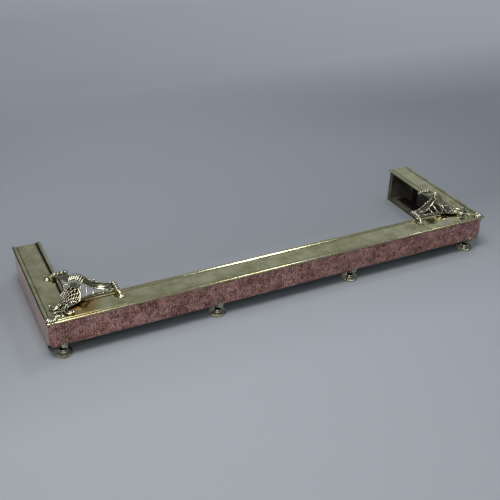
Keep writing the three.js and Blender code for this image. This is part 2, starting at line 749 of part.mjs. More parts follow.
// Shell cap over the very corner, hanging over the mitre of the rolled edges
function addCornerCaps() {
  const lobes = [];
  const count = 5;
  for (let i = 0; i < count; i += 1) {
    const angle = THREE.MathUtils.degToRad(-5 + (100 * i) / (count - 1));
    const [du, dv] = [Math.cos(angle), Math.sin(angle)];
    const start = [16, 16, 3.2];
    const crown = [12.5 - 3 * du, 12.5 - 3 * dv, 6];
    const rim = [9 - 7.6 * du, 9 - 7.6 * dv, 3.2];
    const tip = [6.4 - 6.2 * du, 6.4 - 6.2 * dv, -2.4];
    lobes.push(rod([start, crown, rim, tip],
      (t) => 2.2 + 1.2 * Math.sin(Math.PI * t), 3, 5));
  }
  const dome = new THREE.SphereGeometry(9, 8, 6).scale(1, 1, 0.62).translate(15, 15, 2.6);
  const whole = join([dome, ...lobes]);
  const under = slab(-20, 60, -20, 60, -30, gap).translate(20 + 11.6, 20 + 11.6, 0);
  const cap = cut(whole, [under, ...crestClearance()]);
  const corners = { left: cap, right: mirrored(cap, acrossX) };
  for (const [side, sign] of [['left', -1], ['right', 1]]) {
    const mesh = addPiece(`corner_cap_${side}`, corners[side], 'castBrass');
    mesh.position.set(sign * halfLength, frontEdge, plateTop);
  }
}

// --- nuts under the frame ---

function addNuts() {
  const nut = ring(nutAcross / Math.sqrt(3), 6, nutHeight, studRadius);
  const hang = (name, x, y, under) => addPiece(name, nut, 'steel').position.set(x, y, under - gap - nutHeight);
  frontStudsX.forEach((x, i) => hang(`top_nut_front_${i + 1}`, x, frontStudY, angleUnderside));
  for (const [side, sign] of [['left', 1], ['right', -1]]) {
    returnStuds.forEach((distance, i) => (
      hang(`top_nut_${side}_${i + 1}`, sign * leftStudX, frontEdge + distance, angleUnderside)));
    crestHoles.forEach(([x, y], i) => (
      hang(`crest_nut_${side}_${i + 1}`, sign * x, y, i === 0 ? gussetUnderside : angleUnderside)));
  }
}

addTop();
addTopFrame();
addFrontPanel();
addReturnPanels();
addEndPlates();
addBottomFrame();
addStays();
addFeet();
addCrests();
addCornerCaps();
addNuts();

export default fender;
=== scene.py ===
import bpy, bmesh, json, math
import numpy as np
from mathutils import Matrix, Vector, kdtree


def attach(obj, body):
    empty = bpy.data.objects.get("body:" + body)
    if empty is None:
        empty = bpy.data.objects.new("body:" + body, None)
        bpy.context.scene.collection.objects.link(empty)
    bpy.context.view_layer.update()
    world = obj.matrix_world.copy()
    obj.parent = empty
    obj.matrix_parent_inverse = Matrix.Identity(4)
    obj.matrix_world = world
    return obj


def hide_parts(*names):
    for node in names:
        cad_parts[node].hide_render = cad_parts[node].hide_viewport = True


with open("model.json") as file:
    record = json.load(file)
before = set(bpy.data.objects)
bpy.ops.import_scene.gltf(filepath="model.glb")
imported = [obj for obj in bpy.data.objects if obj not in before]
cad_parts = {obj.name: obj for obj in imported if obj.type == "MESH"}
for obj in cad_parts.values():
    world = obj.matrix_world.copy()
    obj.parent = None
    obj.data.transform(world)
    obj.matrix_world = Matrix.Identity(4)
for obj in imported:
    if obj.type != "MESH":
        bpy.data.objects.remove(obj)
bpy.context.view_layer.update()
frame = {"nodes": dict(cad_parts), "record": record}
print("frame loaded:", len(frame["nodes"]), "nodes")

# Sizes in millimetres, the same as the frame's. Corner places are (u, v, h): along the front from the
# outer corner, back from the brass front edge, and up from the flat brass.
kerb = {
    "length": 1350,
    "depth": 400,
    "width": 80,
    "plateTop": 112,
    "frontEdge": -199,
    "frontBottom": 39.5,
    "panelTop": 109.7,
    "setBack": 4,  # copper behind the brass edge
    "copperSheet": 1.2,
    "cornerRadius": 8,
    "bentEnd": 20,
    "topFlange": 15,
    "bottomFlange": 38,
    "panStart": 66,
    "panWidth": 67,
    "wallEnd": 396.5,
    "footLine": 24,
    "footSpacing": 425,
}
halfLength = kerb["length"] / 2
front = kerb["frontEdge"]


# the camera stands where the vanishing lines of the rails put it
shot = {
    "place": (-935.7, -1788.1, 1272.6),
    "turn": 26.884,  # degrees from straight back towards +X
    "down": 31.213,
    "roll": 1.5425,
    "lens": 57.038,
    "sensor": 36,
    "farthest": 30,  # metres that the camera sees
}


def addCamera():
    turn, down, roll = (math.radians(shot[key]) for key in ("turn", "down", "roll"))
    ahead = Vector((math.sin(turn) * math.cos(down), math.cos(turn) * math.cos(down), -math.sin(down)))
    level = ahead.cross(Vector((0, 0, 1))).normalized()
    upright = level.cross(ahead)
    right = level * math.cos(roll) + upright * math.sin(roll)
    up = upright * math.cos(roll) - level * math.sin(roll)
    data = bpy.data.cameras.new("camera")
    data.sensor_width = shot["sensor"]
    data.lens = shot["lens"]
    data.clip_end = shot["farthest"]
    camera = bpy.data.objects.new("camera", data)
    bpy.context.scene.collection.objects.link(camera)
    facing = Matrix((right, up, -ahead)).transposed().to_4x4()
    camera.matrix_world = Matrix.Translation(Vector(shot["place"]) / 1000) @ facing
    bpy.context.scene.camera = camera


addCamera()
print("camera placed")


# Materials. Sizes of patterns are in millimetres and heights of bumps in metres; a ramp is (place, value)
# and a range is (from, to) on the pattern that drives it.
def paint(code):  # "#rrggbb" as linear RGBA
    parts = [int(code[i:i + 2], 16) / 255 for i in (1, 3, 5)]
    return tuple(c / 12.92 if c <= 0.04045 else ((c + 0.055) / 1.055) ** 2.4 for c in parts) + (1,)


def addNode(tree, kind, inputs=None, stops=None, **settings):
    node = tree.nodes.new("ShaderNode" + kind)
    for name, value in settings.items():
        setattr(node, name, value)
    for name, value in (inputs or {}).items():
        if isinstance(value, bpy.types.NodeSocket):
            tree.links.new(value, node.inputs[name])
        else:
            node.inputs[name].default_value = value
    if stops:
        ramp = node.color_ramp.elements
        while len(ramp) < len(stops):
            ramp.new(0.5)
        for element, (place, colour) in zip(ramp, stops):
            element.position = place
            element.color = paint(colour) if isinstance(colour, str) else (colour, colour, colour, 1)
    return node


def newMaterial(name):
    material = bpy.data.materials.new(name)
    material.use_nodes = True
    tree = material.node_tree
    tree.nodes.clear()
    coords = addNode(tree, "TexCoord").outputs["Object"]
    return material, tree, coords


def finishMaterial(tree, shader):
    addNode(tree, "OutputMaterial", {"Surface": shader.outputs[0]})


rolledBrassLook = {
    "clean": "#cdc8a0",
    "dull": "#aba273",
    "dullSize": 48,
    "dullRamp": ((0.38, 0), (0.66, 1)),
    "stain": "#75643c",
    "stainSize": 9,
    "stainRamp": ((0.58, 0), (0.74, 1)),
    "stainShare": 0.6,
    "reflectedWarm": "#b0803c",  # a warm patch beside the left crest: a painted reflection of the crest, with some tarnish
    "reflectedWarmPlace": (-0.57, -0.15, 0.112),  # metres
    "reflectedWarmRange": (0.01, 0.06),
    "reflectedWarmShare": 0.8,
    # painted shade under the beads and in the scratched lines, with some polish
    "grimeAndShade": "#1e190d",
    "smooth": 0.1,
    "rough": 0.22,
    "roughRange": (0.35, 0.68),
    "waveSize": 90,
    "waveHeight": 0.0016,
    "grainSize": 2.5,
    "grainHeight": 0.0001,
    "bump": 0.5,
}


def rolledBrass():  # sheet brass, long lacquer gone: olive gold with brown finger stains
    look = rolledBrassLook
    material, tree, coords = newMaterial("rolled_brass_sheet")
    broad = addNode(tree, "TexNoise", {
        "Vector": coords, "Scale": 1000 / look["dullSize"], "Detail": 5, "Roughness": 0.62})
    spots = addNode(tree, "TexNoise", {
        "Vector": coords, "Scale": 1000 / look["stainSize"], "Detail": 4, "Roughness": 0.6})
    dull = addNode(tree, "ValToRGB", {"Fac": broad.outputs["Fac"]}, look["dullRamp"])
    stain = addNode(tree, "ValToRGB", {"Fac": spots.outputs["Fac"]}, look["stainRamp"])
    base = addNode(tree, "MixRGB", {
        "Fac": dull.outputs["Color"], "Color1": paint(look["clean"]), "Color2": paint(look["dull"])})
    # stains keep to the dull patches
    both = addNode(tree, "Math", {0: stain.outputs["Color"], 1: dull.outputs["Color"]}, operation="MULTIPLY")
    share = addNode(tree, "Math", {0: both.outputs[0], 1: look["stainShare"]}, operation="MULTIPLY")
    spotted = addNode(tree, "MixRGB", {
        "Fac": share.outputs[0], "Color1": base.outputs[0], "Color2": paint(look["stain"])})
    # painted reflection: the left crest's warm reflection on the plate, with some tarnish
    fromReflectedWarm = addNode(tree, "VectorMath", {0: coords, 1: look["reflectedWarmPlace"]}, operation="DISTANCE")
    reflectedWarmShare = addNode(tree, "MapRange", {
        "Value": fromReflectedWarm.outputs["Value"],
        "From Min": look["reflectedWarmRange"][0], "From Max": look["reflectedWarmRange"][1],
        "To Min": look["reflectedWarmShare"], "To Max": 0.0})
    withReflectedWarm = addNode(tree, "MixRGB", {
        "Fac": reflectedWarmShare.outputs[0], "Color1": spotted.outputs[0], "Color2": paint(look["reflectedWarm"])})
    # the mark darkens the brass with painted shade and some polish, under the beads and in the scratched
    # lines
    mark = addNode(tree, "Attribute", attribute_name="mark", attribute_type="GEOMETRY")
    grimedAndShaded = addNode(tree, "MixRGB", {
        "Fac": mark.outputs["Fac"], "Color1": withReflectedWarm.outputs[0], "Color2": paint(look["grimeAndShade"])})
    rough = addNode(tree, "MapRange", {
        "Value": broad.outputs["Fac"], "From Min": look["roughRange"][0], "From Max": look["roughRange"][1],
        "To Min": look["smooth"], "To Max": look["rough"]})
    wave = addNode(tree, "TexNoise", {"Vector": coords, "Scale": 1000 / look["waveSize"], "Detail": 2})
    grain = addNode(tree, "TexNoise", {"Vector": coords, "Scale": 1000 / look["grainSize"], "Detail": 3})
    waveBump = addNode(tree, "Bump", {
        "Height": wave.outputs["Fac"], "Distance": look["waveHeight"], "Strength": look["bump"]})
    grainBump = addNode(tree, "Bump", {
        "Height": grain.outputs["Fac"], "Distance": look["grainHeight"], "Strength": look["bump"],
        "Normal": waveBump.outputs[0]})
    finishMaterial(tree, addNode(tree, "BsdfPrincipled", {
        "Base Color": grimedAndShaded.outputs[0], "Metallic": 1.0, "Roughness": rough.outputs[0],
        "Normal": grainBump.outputs[0]}))
    return material


castBrassLook = {
    "high": "#dad8c4",
    "low": "#8b8256",
    "toneSize": 14,
    # painted shade in the hollows, with old polish
    "grimeAndShade": "#16130b",
    "grimeAndShadeRamp": ((0.45, 0), (0.64, 1)),
    "smooth": 0.12,
    "rough": 0.4,
    "roughRange": (0.35, 0.9),
    "grainSize": 1.6,
    "grainHeight": 0.0002,
    "bump": 0.4,
}


def castBrass():  # sand-cast and hand-polished: bright on the ridges, dark polish and painted shade in the hollows
    look = castBrassLook
    material, tree, coords = newMaterial("cast_brass_polished")
    hollow = addNode(tree, "Attribute", attribute_name="hollow", attribute_type="GEOMETRY")
    tone = addNode(tree, "TexNoise", {"Vector": coords, "Scale": 1000 / look["toneSize"], "Detail": 4})
    base = addNode(tree, "MixRGB", {
        "Fac": tone.outputs["Fac"], "Color1": paint(look["high"]), "Color2": paint(look["low"])})
    # painted shade: the hollows turn dark, with old polish in them
    dirtAndShade = addNode(tree, "ValToRGB", {"Fac": hollow.outputs["Fac"]}, look["grimeAndShadeRamp"])
    dirtyAndShaded = addNode(tree, "MixRGB", {
        "Fac": dirtAndShade.outputs["Color"], "Color1": base.outputs[0], "Color2": paint(look["grimeAndShade"])})
    rough = addNode(tree, "MapRange", {
        "Value": hollow.outputs["Fac"], "From Min": look["roughRange"][0], "From Max": look["roughRange"][1],
        "To Min": look["smooth"], "To Max": look["rough"]})
    grain = addNode(tree, "TexNoise", {"Vector": coords, "Scale": 1000 / look["grainSize"], "Detail": 3})
    bump = addNode(tree, "Bump", {
        "Height": grain.outputs["Fac"], "Distance": look["grainHeight"], "Strength": look["bump"]})
    finishMaterial(tree, addNode(tree, "BsdfPrincipled", {
        "Base Color": dirtyAndShaded.outputs[0], "Metallic": 1.0, "Roughness": rough.outputs[0],
        "Normal": bump.outputs[0]}))
    return material


copperLook = {
    "rose": "#fcc0b4",
    "brown": "#b88576",
    "patchSize": 38,
    "patchRamp": ((0.38, 0), (0.64, 1)),
    "patinaAndShade": "#150f10",
    "grainSize": 2.2,
    "grainHeight": 0.0005,
    "speckleRange": (0.56, 0.7),
    "speckleShare": 0.5,
    "struckBump": 0.5,
    "struckRange": (0.35, 0.7),
    "struckRough": (0.24, 0.42),
    "rubbedBump": 0.04,
    "rubbedRough": 0.1,
}


# sheet copper struck all over with a small hammer: rosy on the pads and near black in the creases;
# where it is rubbed, as on the returns, it is smooth enough to mirror the paper
# the band just under the brass is near black too, a painted shade
def planishedCopper():
    look = copperLook
    material, tree, coords = newMaterial("planished_copper_sheet")
    mark, rubbed = (addNode(tree, "Attribute", attribute_name=name, attribute_type="GEOMETRY").outputs["Fac"]
                    for name in ("mark", "rubbed"))
    patches = addNode(tree, "TexNoise", {
        "Vector": coords, "Scale": 1000 / look["patchSize"], "Detail": 6, "Roughness": 0.68})
    patch = addNode(tree, "ValToRGB", {"Fac": patches.outputs["Fac"]}, look["patchRamp"])
    base = addNode(tree, "MixRGB", {
        "Fac": patch.outputs["Color"], "Color1": paint(look["rose"]), "Color2": paint(look["brown"])})
    grain = addNode(tree, "TexNoise", {
        "Vector": coords, "Scale": 1000 / look["grainSize"], "Detail": 3, "Roughness": 0.6})
    speckle = addNode(tree, "MapRange", {
        "Value": grain.outputs["Fac"],
        "From Min": look["speckleRange"][0], "From Max": look["speckleRange"][1],
        "To Min": 0, "To Max": look["speckleShare"]})
    # the mark holds the creases and the painted shade under the brass
    dark = addNode(tree, "Math", {0: mark, 1: speckle.outputs[0]}, operation="MAXIMUM")
    creasedAndShaded = addNode(tree, "MixRGB", {
        "Fac": dark.outputs[0], "Color1": base.outputs[0], "Color2": paint(look["patinaAndShade"])})
    bumpShare = addNode(tree, "MapRange", {
        "Value": rubbed, "To Min": look["struckBump"], "To Max": look["rubbedBump"]})
    bump = addNode(tree, "Bump", {
        "Height": grain.outputs["Fac"], "Distance": look["grainHeight"], "Strength": bumpShare.outputs[0]})
    struck = addNode(tree, "MapRange", {
        "Value": patches.outputs["Fac"],
        "From Min": look["struckRange"][0], "From Max": look["struckRange"][1],
        "To Min": look["struckRough"][0], "To Max": look["struckRough"][1]})
    rough = addNode(tree, "MapRange", {
        "Value": rubbed, "To Min": struck.outputs[0], "To Max": look["rubbedRough"]})
    finishMaterial(tree, addNode(tree, "BsdfPrincipled", {
        "Base Color": creasedAndShaded.outputs[0], "Metallic": 1.0, "Roughness": rough.outputs[0],
        "Normal": bump.outputs[0]}))
    return material


sootLook = {
    "filmSize": 50,
    "tones": ((0.3, "#928a79"), (0.5, "#746f63"), (0.7, "#4a4843")),
    "roughRange": (0.3, 0.7),
    "rough": (0.4, 0.75),
    "metallic": 0.5,
    "filmHeight": 0.001,
    "bump": 0.4,
}


def sootyCopper():  # the side towards the fire: copper under a dry film of soot, brown black and dull
    look = sootLook
    material, tree, coords = newMaterial("copper_sheet_sooted")
    film = addNode(tree, "TexNoise", {
        "Vector": coords, "Scale": 1000 / look["filmSize"], "Detail": 6, "Roughness": 0.65})
    tone = addNode(tree, "ValToRGB", {"Fac": film.outputs["Fac"]}, look["tones"])
    rough = addNode(tree, "MapRange", {
        "Value": film.outputs["Fac"], "From Min": look["roughRange"][0], "From Max": look["roughRange"][1],
        "To Min": look["rough"][0], "To Max": look["rough"][1]})
    bump = addNode(tree, "Bump", {
        "Height": film.outputs["Fac"], "Distance": look["filmHeight"], "Strength": look["bump"]})
    finishMaterial(tree, addNode(tree, "BsdfPrincipled", {
        "Base Color": tone.outputs[0], "Metallic": look["metallic"], "Roughness": rough.outputs[0],
        "Normal": bump.outputs[0]}))
    return material


ironLook = {
    "scaleSize": 12,
    "tones": ((0.35, "#3a3633"), (0.55, "#2b2725"), (0.72, "#5a3a26")),
    "metallic": 0.7,
    "rough": 0.62,
    "scaleHeight": 0.0008,
    "bump": 0.5,
}


def blackIron():  # hot-rolled bar with its scale on: near black, with rust coming through
    look = ironLook
    material, tree, coords = newMaterial("iron_bar_scaled")
    scale = addNode(tree, "TexNoise", {
        "Vector": coords, "Scale": 1000 / look["scaleSize"], "Detail": 6, "Roughness": 0.6})
    tone = addNode(tree, "ValToRGB", {"Fac": scale.outputs["Fac"]}, look["tones"])
    bump = addNode(tree, "Bump", {
        "Height": scale.outputs["Fac"], "Distance": look["scaleHeight"], "Strength": look["bump"]})
    finishMaterial(tree, addNode(tree, "BsdfPrincipled", {
        "Base Color": tone.outputs[0], "Metallic": look["metallic"], "Roughness": look["rough"],
        "Normal": bump.outputs[0]}))
    return material


steelLook = {"toneSize": 5, "tones": ((0.35, "#77726b"), (0.7, "#4b4540")), "rough": 0.45}


def dullSteel():  # machine-cut nuts, darkened by oil: grey with a soft shine
    look = steelLook
    material, tree, coords = newMaterial("steel_nuts_dull")
    stain = addNode(tree, "TexNoise", {"Vector": coords, "Scale": 1000 / look["toneSize"], "Detail": 4})
    tone = addNode(tree, "ValToRGB", {"Fac": stain.outputs["Fac"]}, look["tones"])
    finishMaterial(tree, addNode(tree, "BsdfPrincipled", {
        "Base Color": tone.outputs[0], "Metallic": 1.0, "Roughness": look["rough"]}))
    return material


# tones are (metres behind the middle of the fender, colour), the first row where the paper glows with its
# tone and the second where the lamps light it; both rows are darker just behind the fender, a painted shade
paperLook = {
    "tones": ((-0.9, "#a8afb6"), (-0.45, "#abb2b8"), (0.1, "#7f848b"), (0.9, "#80858d"), (1.6, "#9ba2aa"),
              (2.8, "#9da4ad"), (3.3, "#aab1ba")),
    "litShadedTones": ((-0.9, "#a6adb4"), (-0.45, "#a8afb6"), (0.1, "#92989f"), (0.9, "#a3aab2"), (1.6, "#bcc3cc"),
                 (2.8, "#3c3f44")),
    "from": -1.0,
    "to": 3.8,
    "rough": 0.9,
    "sheen": 0.2,
    "middle": (3.0, 2.6, 2.2),  # a painted pool of light: the brightest place of the far paper; round it the tone falls off
    "paintedFallRange": (1.4, 5.3),
    "paintedFallTone": "#cccdd0",
    "glowRange": (0.9, 2.0),  # metres from the middle of the hearth; nearer, only the lamps light the paper
}


# seamless studio paper, grey-blue; far from the fender it keeps its tone whatever the lamps do
def paperSweep():
    look = paperLook
    material, tree, coords = newMaterial("studio_paper")
    split = addNode(tree, "SeparateXYZ", {"Vector": coords})
    start, reach = look["from"], look["to"] - look["from"]
    # painted shade: both rows of tones are darker just behind the fender
    depth = addNode(tree, "MapRange", {
        "Value": split.outputs["Y"], "From Min": start, "From Max": look["to"], "To Min": 0, "To Max": 1})
    tone, lit = (addNode(tree, "ValToRGB", {"Fac": depth.outputs[0]},
                         [((y - start) / reach, colour) for y, colour in look[key]])
                 for key in ("tones", "litShadedTones"))
    paper = addNode(tree, "BsdfPrincipled", {
        "Base Color": lit.outputs[0], "Roughness": look["rough"], "Specular IOR Level": look["sheen"]})
    # painted pool of light on the far paper: its tone falls off round the middle
    away = addNode(tree, "VectorMath", {0: coords, 1: look["middle"]}, operation="DISTANCE")
    paintedFall = addNode(tree, "MapRange", {
        "Value": away.outputs["Value"], "From Min": look["paintedFallRange"][0], "From Max": look["paintedFallRange"][1],
        "To Min": 0, "To Max": 1})
    paintedFalloff = addNode(tree, "MixRGB", {
        "Fac": paintedFall.outputs[0], "Color1": tone.outputs[0], "Color2": paint(look["paintedFallTone"])},
        blend_type="MULTIPLY")
    glow = addNode(tree, "Emission", {"Color": paintedFalloff.outputs[0], "Strength": 1.0})
    far = addNode(tree, "VectorMath", {0: coords}, operation="LENGTH")
    farAway = addNode(tree, "MapRange", {
        "Value": far.outputs["Value"], "From Min": look["glowRange"][0], "From Max": look["glowRange"][1],
        "To Min": 0, "To Max": 1}, interpolation_type="SMOOTHSTEP")
    ray = addNode(tree, "LightPath")
    seen = addNode(tree, "Math", {
        0: ray.outputs["Is Camera Ray"], 1: ray.outputs["Is Glossy Ray"]}, operation="MAXIMUM")
    share = addNode(tree, "Math", {0: seen.outputs[0], 1: farAway.outputs[0]}, operation="MULTIPLY")
    mixed = addNode(tree, "MixShader", {"Fac": share.outputs[0], 1: paper.outputs[0], 2: glow.outputs[0]})
    finishMaterial(tree, mixed)
    return material


finishes = {
    "rolled_brass": rolledBrass(),
    "cast_brass": castBrass(),
    "planished_copper": planishedCopper(),
    "sooty_copper": sootyCopper(),
    "iron": blackIron(),
    "fixing_steel": dullSteel(),
}
for part in frame["record"]["subparts"]:
    node = frame["nodes"][part["node"]]
    node.data.materials.clear()
    node.data.materials.append(finishes[part["material_slot"]])
print("materials made")


# Shapes are in millimetres until the mesh is made. mark and rubbed are the shares that the materials read,
# and sooted lists the faces towards the fire.
def newShape():
    return {"verts": [], "faces": [], "mark": [], "sooted": [], "rubbed": 0.0}


# quads between rows of points; a row can be a closed loop, and the two end rows can be filled
def addGrid(shape, rows, loop=False, ends=False, mark=None):
    base, count = len(shape["verts"]), len(rows[0])
    for row in rows:
        shape["verts"].extend(tuple(p) for p in row)
    shape["mark"].extend([0.0] * (len(rows) * count) if mark is None else mark)
    for r in range(len(rows) - 1):
        for c in range(count if loop else count - 1):
            a, b = base + r * count + c, base + r * count + (c + 1) % count
            shape["faces"].append((a, b, b + count, a + count))
    if ends:
        last = base + (len(rows) - 1) * count
        shape["faces"].append(tuple(base + c for c in reversed(range(count))))
        shape["faces"].append(tuple(last + c for c in range(count)))


def smoothLine(points, steps=6):  # a curve through the points
    given = np.array(points, float)
    knots = np.vstack([2 * given[0] - given[1], given, 2 * given[-1] - given[-2]])
    line = []
    for i in range(len(given) - 1):
        a, b, c, d = knots[i:i + 4]
        for t in np.arange(steps) / steps:
            bend = (2 * a - 5 * b + 4 * c - d) * t ** 2 + (3 * b - a - 3 * c + d) * t ** 3
            line.append(0.5 * (2 * b + (c - a) * t + bend))
    return np.array(line + [given[-1]])


def along(line, share):  # the point at a share of a line's points
    place = min(max(share, 0), 1) * (len(line) - 1)
    i = min(int(place), len(line) - 2)
    return line[i] + (line[i + 1] - line[i]) * (place - i)


def addTube(shape, points, radius, sides=8, steps=5):  # radius: a number, or a function of the share 0..1
    line = smoothLine(points, steps)
    heading = np.gradient(line, axis=0)
    heading /= np.linalg.norm(heading, axis=1)[:, None]
    side = np.cross(heading[0], (0, 0, 1))
    if np.linalg.norm(side) < 0.1:
        side = np.cross(heading[0], (1, 0, 0))
    rows = []
    for i, place in enumerate(line):
        side = side - heading[i] * side.dot(heading[i])
        side /= np.linalg.norm(side)
        up = np.cross(side, heading[i])
        r = radius(i / (len(line) - 1)) if callable(radius) else radius
        rows.append([place + r * (math.cos(a) * side + math.sin(a) * up)
                     for a in np.arange(sides) * math.tau / sides])
    addGrid(shape, rows, loop=True, ends=True)


def addBall(shape, centre, radius, tall=1.0, sides=10):
    rings, pole = 6, 0.08  # each pole is a small flat, for the end face
    rows = []
    for i in range(rings + 1):
        angle = math.pi * (i + pole) / (rings + 2 * pole)
        out, z = radius * math.sin(angle), centre[2] + tall * radius * math.cos(angle)
        rows.append([(centre[0] + out * math.cos(a), centre[1] + out * math.sin(a), z)
                     for a in np.arange(sides) * math.tau / sides])
    addGrid(shape, rows, loop=True, ends=True)


# profile: (radius, distance along the axis)
# flute: how far the surface stands out at (radius, distance, angle)
def addTurned(shape, profile, place, axis="Z", sides=24, flute=None):
    thinnest = 0.05
    rows = []
    for r, d in profile:
        row = []
        for k in range(sides):
            a = math.tau * k / sides
            reach = max(r, thinnest) + (flute(r, d, a) if flute else 0)
            x, y = reach * math.cos(a), reach * math.sin(a)
            turned = (x, y, d) if axis == "Z" else (x, d, y)
            row.append(tuple(p + q for p, q in zip(place, turned)))
        rows.append(row)
    addGrid(shape, rows, loop=True, ends=True)


# a strip between two edge curves, dished between its rims
def addBand(shape, near, far, thick, rim, steps=6):
    a, b = smoothLine(near, steps), smoothLine(far, steps)
    # once round the strip, as (share of the width, height)
    section = ((0, -thick), (0.5, -thick), (1, -thick), (1.02, 0), (0.98, rim), (0.9, rim), (0.84, 0.2),
               (0.7, -0.2), (0.5, -0.3), (0.3, -0.2), (0.16, 0.2), (0.1, rim), (0.02, rim), (-0.02, 0))
    last = len(a) - 1
    rows = []
    for i in range(len(a)):
        after, before = min(i + 1, last), max(i - 1, 0)
        across = b[i] - a[i]
        heading = a[after] - a[before] + b[after] - b[before]
        up = np.cross(across, heading)
        up *= (1 if up[2] > 0 else -1) / np.linalg.norm(up)
        rows.append([a[i] + across * x + up * y for x, y in section])
    addGrid(shape, rows, loop=True, ends=True)


def addSlab(shape, low, high, edge=0.3):  # a flat piece of sheet with its edges eased
    rows = []
    for z, inset in ((low[2], edge), (low[2] + edge, 0), (high[2] - edge, 0), (high[2], edge)):
        rows.append([(low[0] + inset, low[1] + inset, z), (high[0] - inset, low[1] + inset, z),
                     (high[0] - inset, high[1] - inset, z), (low[0] + inset, high[1] - inset, z)])
    addGrid(shape, rows, loop=True, ends=True)


def addPlate(shape, outline, low, high):  # a flat flange of any outline
    addGrid(shape, [[(x, y, z) for x, y in outline] for z in (low, high)], loop=True, ends=True)


def writeShares(mesh, name, values):  # one value for each point, for a material to read
    mesh.attributes.new(name, "FLOAT", "POINT").data.foreach_set("value", values)


def toMesh(name, shape, shift=(0, 0, 0), sharp=35):
    mesh = bpy.data.meshes.new(name)
    dx, dy, dz = shift
    places = [((x + dx) / 1000, (y + dy) / 1000, (z + dz) / 1000) for x, y, z in shape["verts"]]
    mesh.from_pydata(places, [], shape["faces"])
    work = bmesh.new()
    work.from_mesh(mesh)
    bmesh.ops.recalc_face_normals(work, faces=work.faces)
    work.to_mesh(mesh)
    work.free()
    if shape["rubbed"]:
        writeShares(mesh, "rubbed", [shape["rubbed"]] * len(places))
    if any(shape["mark"]):
        writeShares(mesh, "mark", shape["mark"])
    mesh.shade_smooth()
    mesh.set_sharp_from_angle(angle=math.radians(sharp))
    return mesh


def mirroredMesh(mesh, name):
    other = mesh.copy()
    other.name = name
    other.transform(Matrix.Scale(-1, 4, (1, 0, 0)))
    other.flip_normals()
    return other


def makePiece(name, mesh, slot, *nodes, inside=None):
    mesh.materials.append(finishes[slot])
    if inside:
        mesh.materials.append(finishes[inside])
    piece = bpy.data.objects.new(name, mesh)
    bpy.context.scene.collection.objects.link(piece)
    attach(piece, "root")
    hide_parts(*nodes)
    return piece


def sootFaces(mesh, faces):
    for i in faces:
        mesh.polygons[i].material_index = 1


# one skin round overlapping parts, as a casting has, a little softened
def castMesh(name, shape, voxel, relax, shift=(0, 0, 0)):
    pattern = bpy.data.objects.new(name + "_pattern", toMesh(name + "_pattern", shape, shift))
    bpy.context.scene.collection.objects.link(pattern)
    fuse = pattern.modifiers.new("fuse", "REMESH")
    fuse.mode = "VOXEL"
    fuse.voxel_size = voxel / 1000
    ease = pattern.modifiers.new("ease", "SMOOTH")
    ease.iterations = relax
    graph = bpy.context.evaluated_depsgraph_get()
    mesh = bpy.data.meshes.new_from_object(pattern.evaluated_get(graph))
    mesh.name = name
    bpy.data.objects.remove(pattern)
    mesh.shade_smooth()
    return mesh


# 1 in a hollow and 0 on a ridge, which the cast brass darkens with painted shade; even is the value on even
# ground, and depth is in millimetres
def markHollows(mesh, passes, depth, even=0.5):
    count = len(mesh.vertices)
    places, normals = np.empty(count * 3), np.empty(count * 3)
    mesh.vertices.foreach_get("co", places)
    mesh.vertices.foreach_get("normal", normals)
    places = places.reshape(-1, 3) * 1000
    ends = np.empty(len(mesh.edges) * 2, np.int32)
    mesh.edges.foreach_get("vertices", ends)
    a, b = ends.reshape(-1, 2).T
    degree = np.bincount(a, minlength=count) + np.bincount(b, minlength=count)
    eased = places.copy()
    for i in range(passes):
        eased = np.stack([np.bincount(a, eased[b, k], count) + np.bincount(b, eased[a, k], count)
                          for k in range(3)], 1)
        eased /= degree[:, None]
    inward = ((eased - places) * normals.reshape(-1, 3)).sum(axis=1)
    writeShares(mesh, "hollow", np.clip(even + inward / depth, 0, 1))


# brass top: sheet with a rolled bead along both edges and a scratched line beside each bead
rail = {
    "sheet": 2,
    "beadHalfWidth": 5.5,
    "beadHalfHeight": 3.3,
    "beadAxis": -0.2,
    "beadSteps": 18,
    "lipAngle": 238,
    "lipGap": 0.3,  # between the bead's lip and the copper
    "groove": ((11.5, -1.0), (12.4, -1.2), (13.4, -0.8), (14.3, 0)),
    # bead on the hearth side, flatter on the face that looks at the front, as (distance from the inner
    # edge, height)
    "innerBead": ((13.6, 0.5), (12.4, 1.15), (11.0, 1.85), (9.5, 2.5), (8.0, 3.0), (6.5, 3.25), (5.0, 3.1),
                  (3.4, 2.6), (1.9, 1.8), (0.7, 0.7), (0.1, -0.4), (0.4, -1.4), (1.4, -2.3)),
    "flatFrom": 20,
    "flatPoints": 7,
    "crownFrom": 14,
    "crown": 0.25,  # of the flat between the beads
    # polish and soot that no cloth reaches, and painted shade, point by point: under the bead and in the
    # scratched line
    "edgeGrimeAndShade": [0.5] * 5 + [0.2] + [0.0] * 14 + [0.2, 0.6, 0.7, 0.4, 0.0],
    # painted shade on the lip under the hearth-side bead
    "innerGrimeAndShade": [0.9, 0.9],
    "returnBeadShaded": 11,  # points of a return's outer bead painted dark all over, a painted shade
    "heavyShadeLine": 12.4,  # painted shade line beside a return's hearth-side bead, from the inner edge
    "heavyShadeHalf": 2.2,
    "mitreGap": 0.2,
    "frontRows": 90,
    "returnRows": 32,
    "studLine": 33,
    "frontStuds": (-450, -150, 150, 450),
    "returnStuds": (150, 260, 370),
    "stud": ((0, 0.5), (5, 0.5), (5, -1.4), (4.6, -1.8), (2.6, -1.8), (2.6, -11.4), (2.0, -12.2), (0, -12.2)),
}


